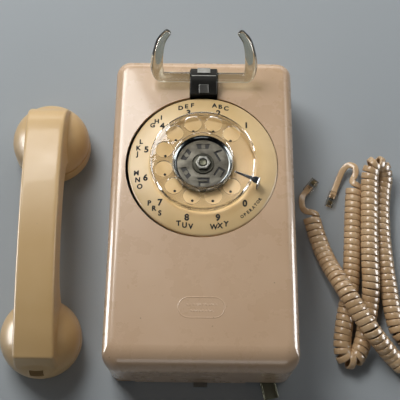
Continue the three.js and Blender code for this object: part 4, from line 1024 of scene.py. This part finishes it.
def makeCap(name, y, replaced):
    radius, edge, high = handset["cupRadius"], handset["capChamfer"], handset["capHeight"]
    profile = [(0, 0.9), (radius - 7, 0), (radius - edge, 0), (radius - 0.45, 0.5), (radius, edge), (radius, high - 0.5),
               (radius - 0.4, high), (radius - 3, high), (radius - 3, 2.2), (0, 2.2)]
    cap = addPiece(name, turnedMesh(name, profile, cupPlace(y), 128, closed=False), finishes["handset_plastic"],
                   "handset", [replaced])
    bm = bmesh.new()
    for ring, count in ((0, 1), (5, 6), (10, 12)):
        for i in range(count):
            spot = around(ring, 360 * i / count)
            addDisc(bm, 1.1, -1, 3.2, 16, cupPlace(y) @ Matrix.Translation(spot))
    cutWith(cap, bm)
    return cap


makeHandle()
makeCap("receiver_cap_turned", handset["cups"][0], "receiver_cap")
makeCap("transmitter_cap_turned", handset["cups"][1], "transmitter_cap")
print("handset made")


# ---- loudness lever: a dark channel with rounded flanges under the bottom wall
loudness = {"pivot": (45.5, -100), "tip": (52, -128.6), "width": 11, "thickness": 1.2, "z": 2.2, "flange": 2.4}


def makeLoudnessLever():
    l = loudness
    reach = math.hypot(l["tip"][0] - l["pivot"][0], l["tip"][1] - l["pivot"][1])
    lean = math.atan2(l["tip"][0] - l["pivot"][0], l["pivot"][1] - l["tip"][1])
    place = Matrix.Translation((*l["pivot"], l["z"])) @ Matrix.Rotation(lean, 4, "Z")
    bm = bmesh.new()
    addBox(bm, (1 - l["width"] / 2, -reach, 0), (l["width"] / 2 - 1, 6, l["thickness"]), place)
    web = addPiece("loudness_lever_web", meshFrom(bm, "web"), finishes["dark_olive"], "loudness_lever",
                   ["loudness_lever"])
    roundEdges(web, 0.15, 2)
    bm = bmesh.new()
    for side in (-1, 1):
        x = side * (l["width"] / 2 - 0.5)
        addBox(bm, (x - 0.5, -reach, 0), (x + 0.5, -4, l["flange"]), place)
    roundEdges(addPiece("loudness_lever_flanges", meshFrom(bm, "flanges"), finishes["dark_olive"], "loudness_lever"), 0.3, 3)


makeLoudnessLever()
print("loudness lever made")


# ---- floor, lamps and the room's soft glow
room = {
    "floor": colour(162, 169, 174), "floorSize": 6, "glow": 0.03, "glowTop": colour(214, 222, 232),
    "glowLow": colour(110, 106, 102),
    "lamps": {
        "main": {"place": (-0.42, 0.62, 0.95), "aim": (-0.05, 0.05, 0), "size": (0.6, 0.45), "power": 9.8,
                 "tint": (1, 0.985, 0.96)},
        "behind": {"place": (0, 0.78, 0.24), "aim": (0, 0.35, 0), "size": (1.6, 0.2), "power": 3.2,
                   "tint": (1, 1, 1)},
        "window": {"place": (0.62, 0.45, 0.62), "aim": (0, 0, 0), "size": (0.3, 0.3), "power": 0.8,
                   "tint": (1, 0.99, 0.97)},
        "front": {"place": (0.1, -0.95, 0.5), "aim": (0, -0.1, 0), "size": (0.7, 0.3), "power": 1.0,
                  "tint": (1, 1, 1)},
        "left strip": {"place": (-0.8, 0.02, 0.2), "aim": (0, -0.05, 0.03), "size": (0.5, 0.38), "power": 11,
                       "tint": (1, 1, 1), "shineOnly": True},
        "right strip": {"place": (0.8, 0.02, 0.2), "aim": (0, -0.05, 0.03), "size": (0.5, 0.38), "power": 9,
                        "tint": (1, 1, 1), "shineOnly": True},
    },
}


def makeFloor():
    bm = bmesh.new()
    bmesh.ops.create_grid(bm, x_segments=1, y_segments=1, size=room["floorSize"] / 2)
    bm.transform(Matrix.Translation((0, 0, -0.0002)))
    mesh = bpy.data.meshes.new("floor")
    bm.to_mesh(mesh)
    bm.free()
    material, tree, shader = newMaterial("floor")
    shader.inputs["Base Color"].default_value = room["floor"]
    shader.inputs["Roughness"].default_value = 0.75
    shader.inputs["Specular IOR Level"].default_value = 0.25
    mesh.materials.append(material)
    floor = bpy.data.objects.new("floor", mesh)
    bpy.context.scene.collection.objects.link(floor)


def makeLamps():
    for name, lamp in room["lamps"].items():
        data = bpy.data.lights.new(name, "AREA")
        data.shape = "RECTANGLE"
        data.size, data.size_y = lamp["size"]
        data.energy = lamp["power"]
        data.color = lamp["tint"]
        light = bpy.data.objects.new(name, data)
        bpy.context.scene.collection.objects.link(light)
        place = Vector(lamp["place"])
        light.location = place
        light.rotation_euler = (Vector(lamp["aim"]) - place).to_track_quat("-Z", "Y").to_euler()
        light.visible_diffuse = not lamp.get("shineOnly", False)


def makeGlow():
    world = bpy.data.worlds.new("room")
    world.use_nodes = True
    bpy.context.scene.world = world
    tree = world.node_tree
    direction = nodeIn(tree, "ShaderNodeTexCoord").outputs["Generated"]
    parts = nodeIn(tree, "ShaderNodeSeparateXYZ", Vector=direction)
    height = nodeIn(tree, "ShaderNodeMapRange", Value=parts.outputs["Y"], From_Min=-0.7, From_Max=0.9)
    tint = nodeIn(tree, "ShaderNodeMix", {"data_type": "RGBA"})
    tree.links.new(height.outputs[0], tint.inputs[0])
    tint.inputs[6].default_value = room["glowLow"]
    tint.inputs[7].default_value = room["glowTop"]
    back = tree.nodes["Background"]
    tree.links.new(tint.outputs[2], back.inputs["Color"])
    back.inputs["Strength"].default_value = room["glow"]


makeFloor()
makeLamps()
makeGlow()
bpy.context.scene.view_settings.view_transform = "Standard"
print("room lit")
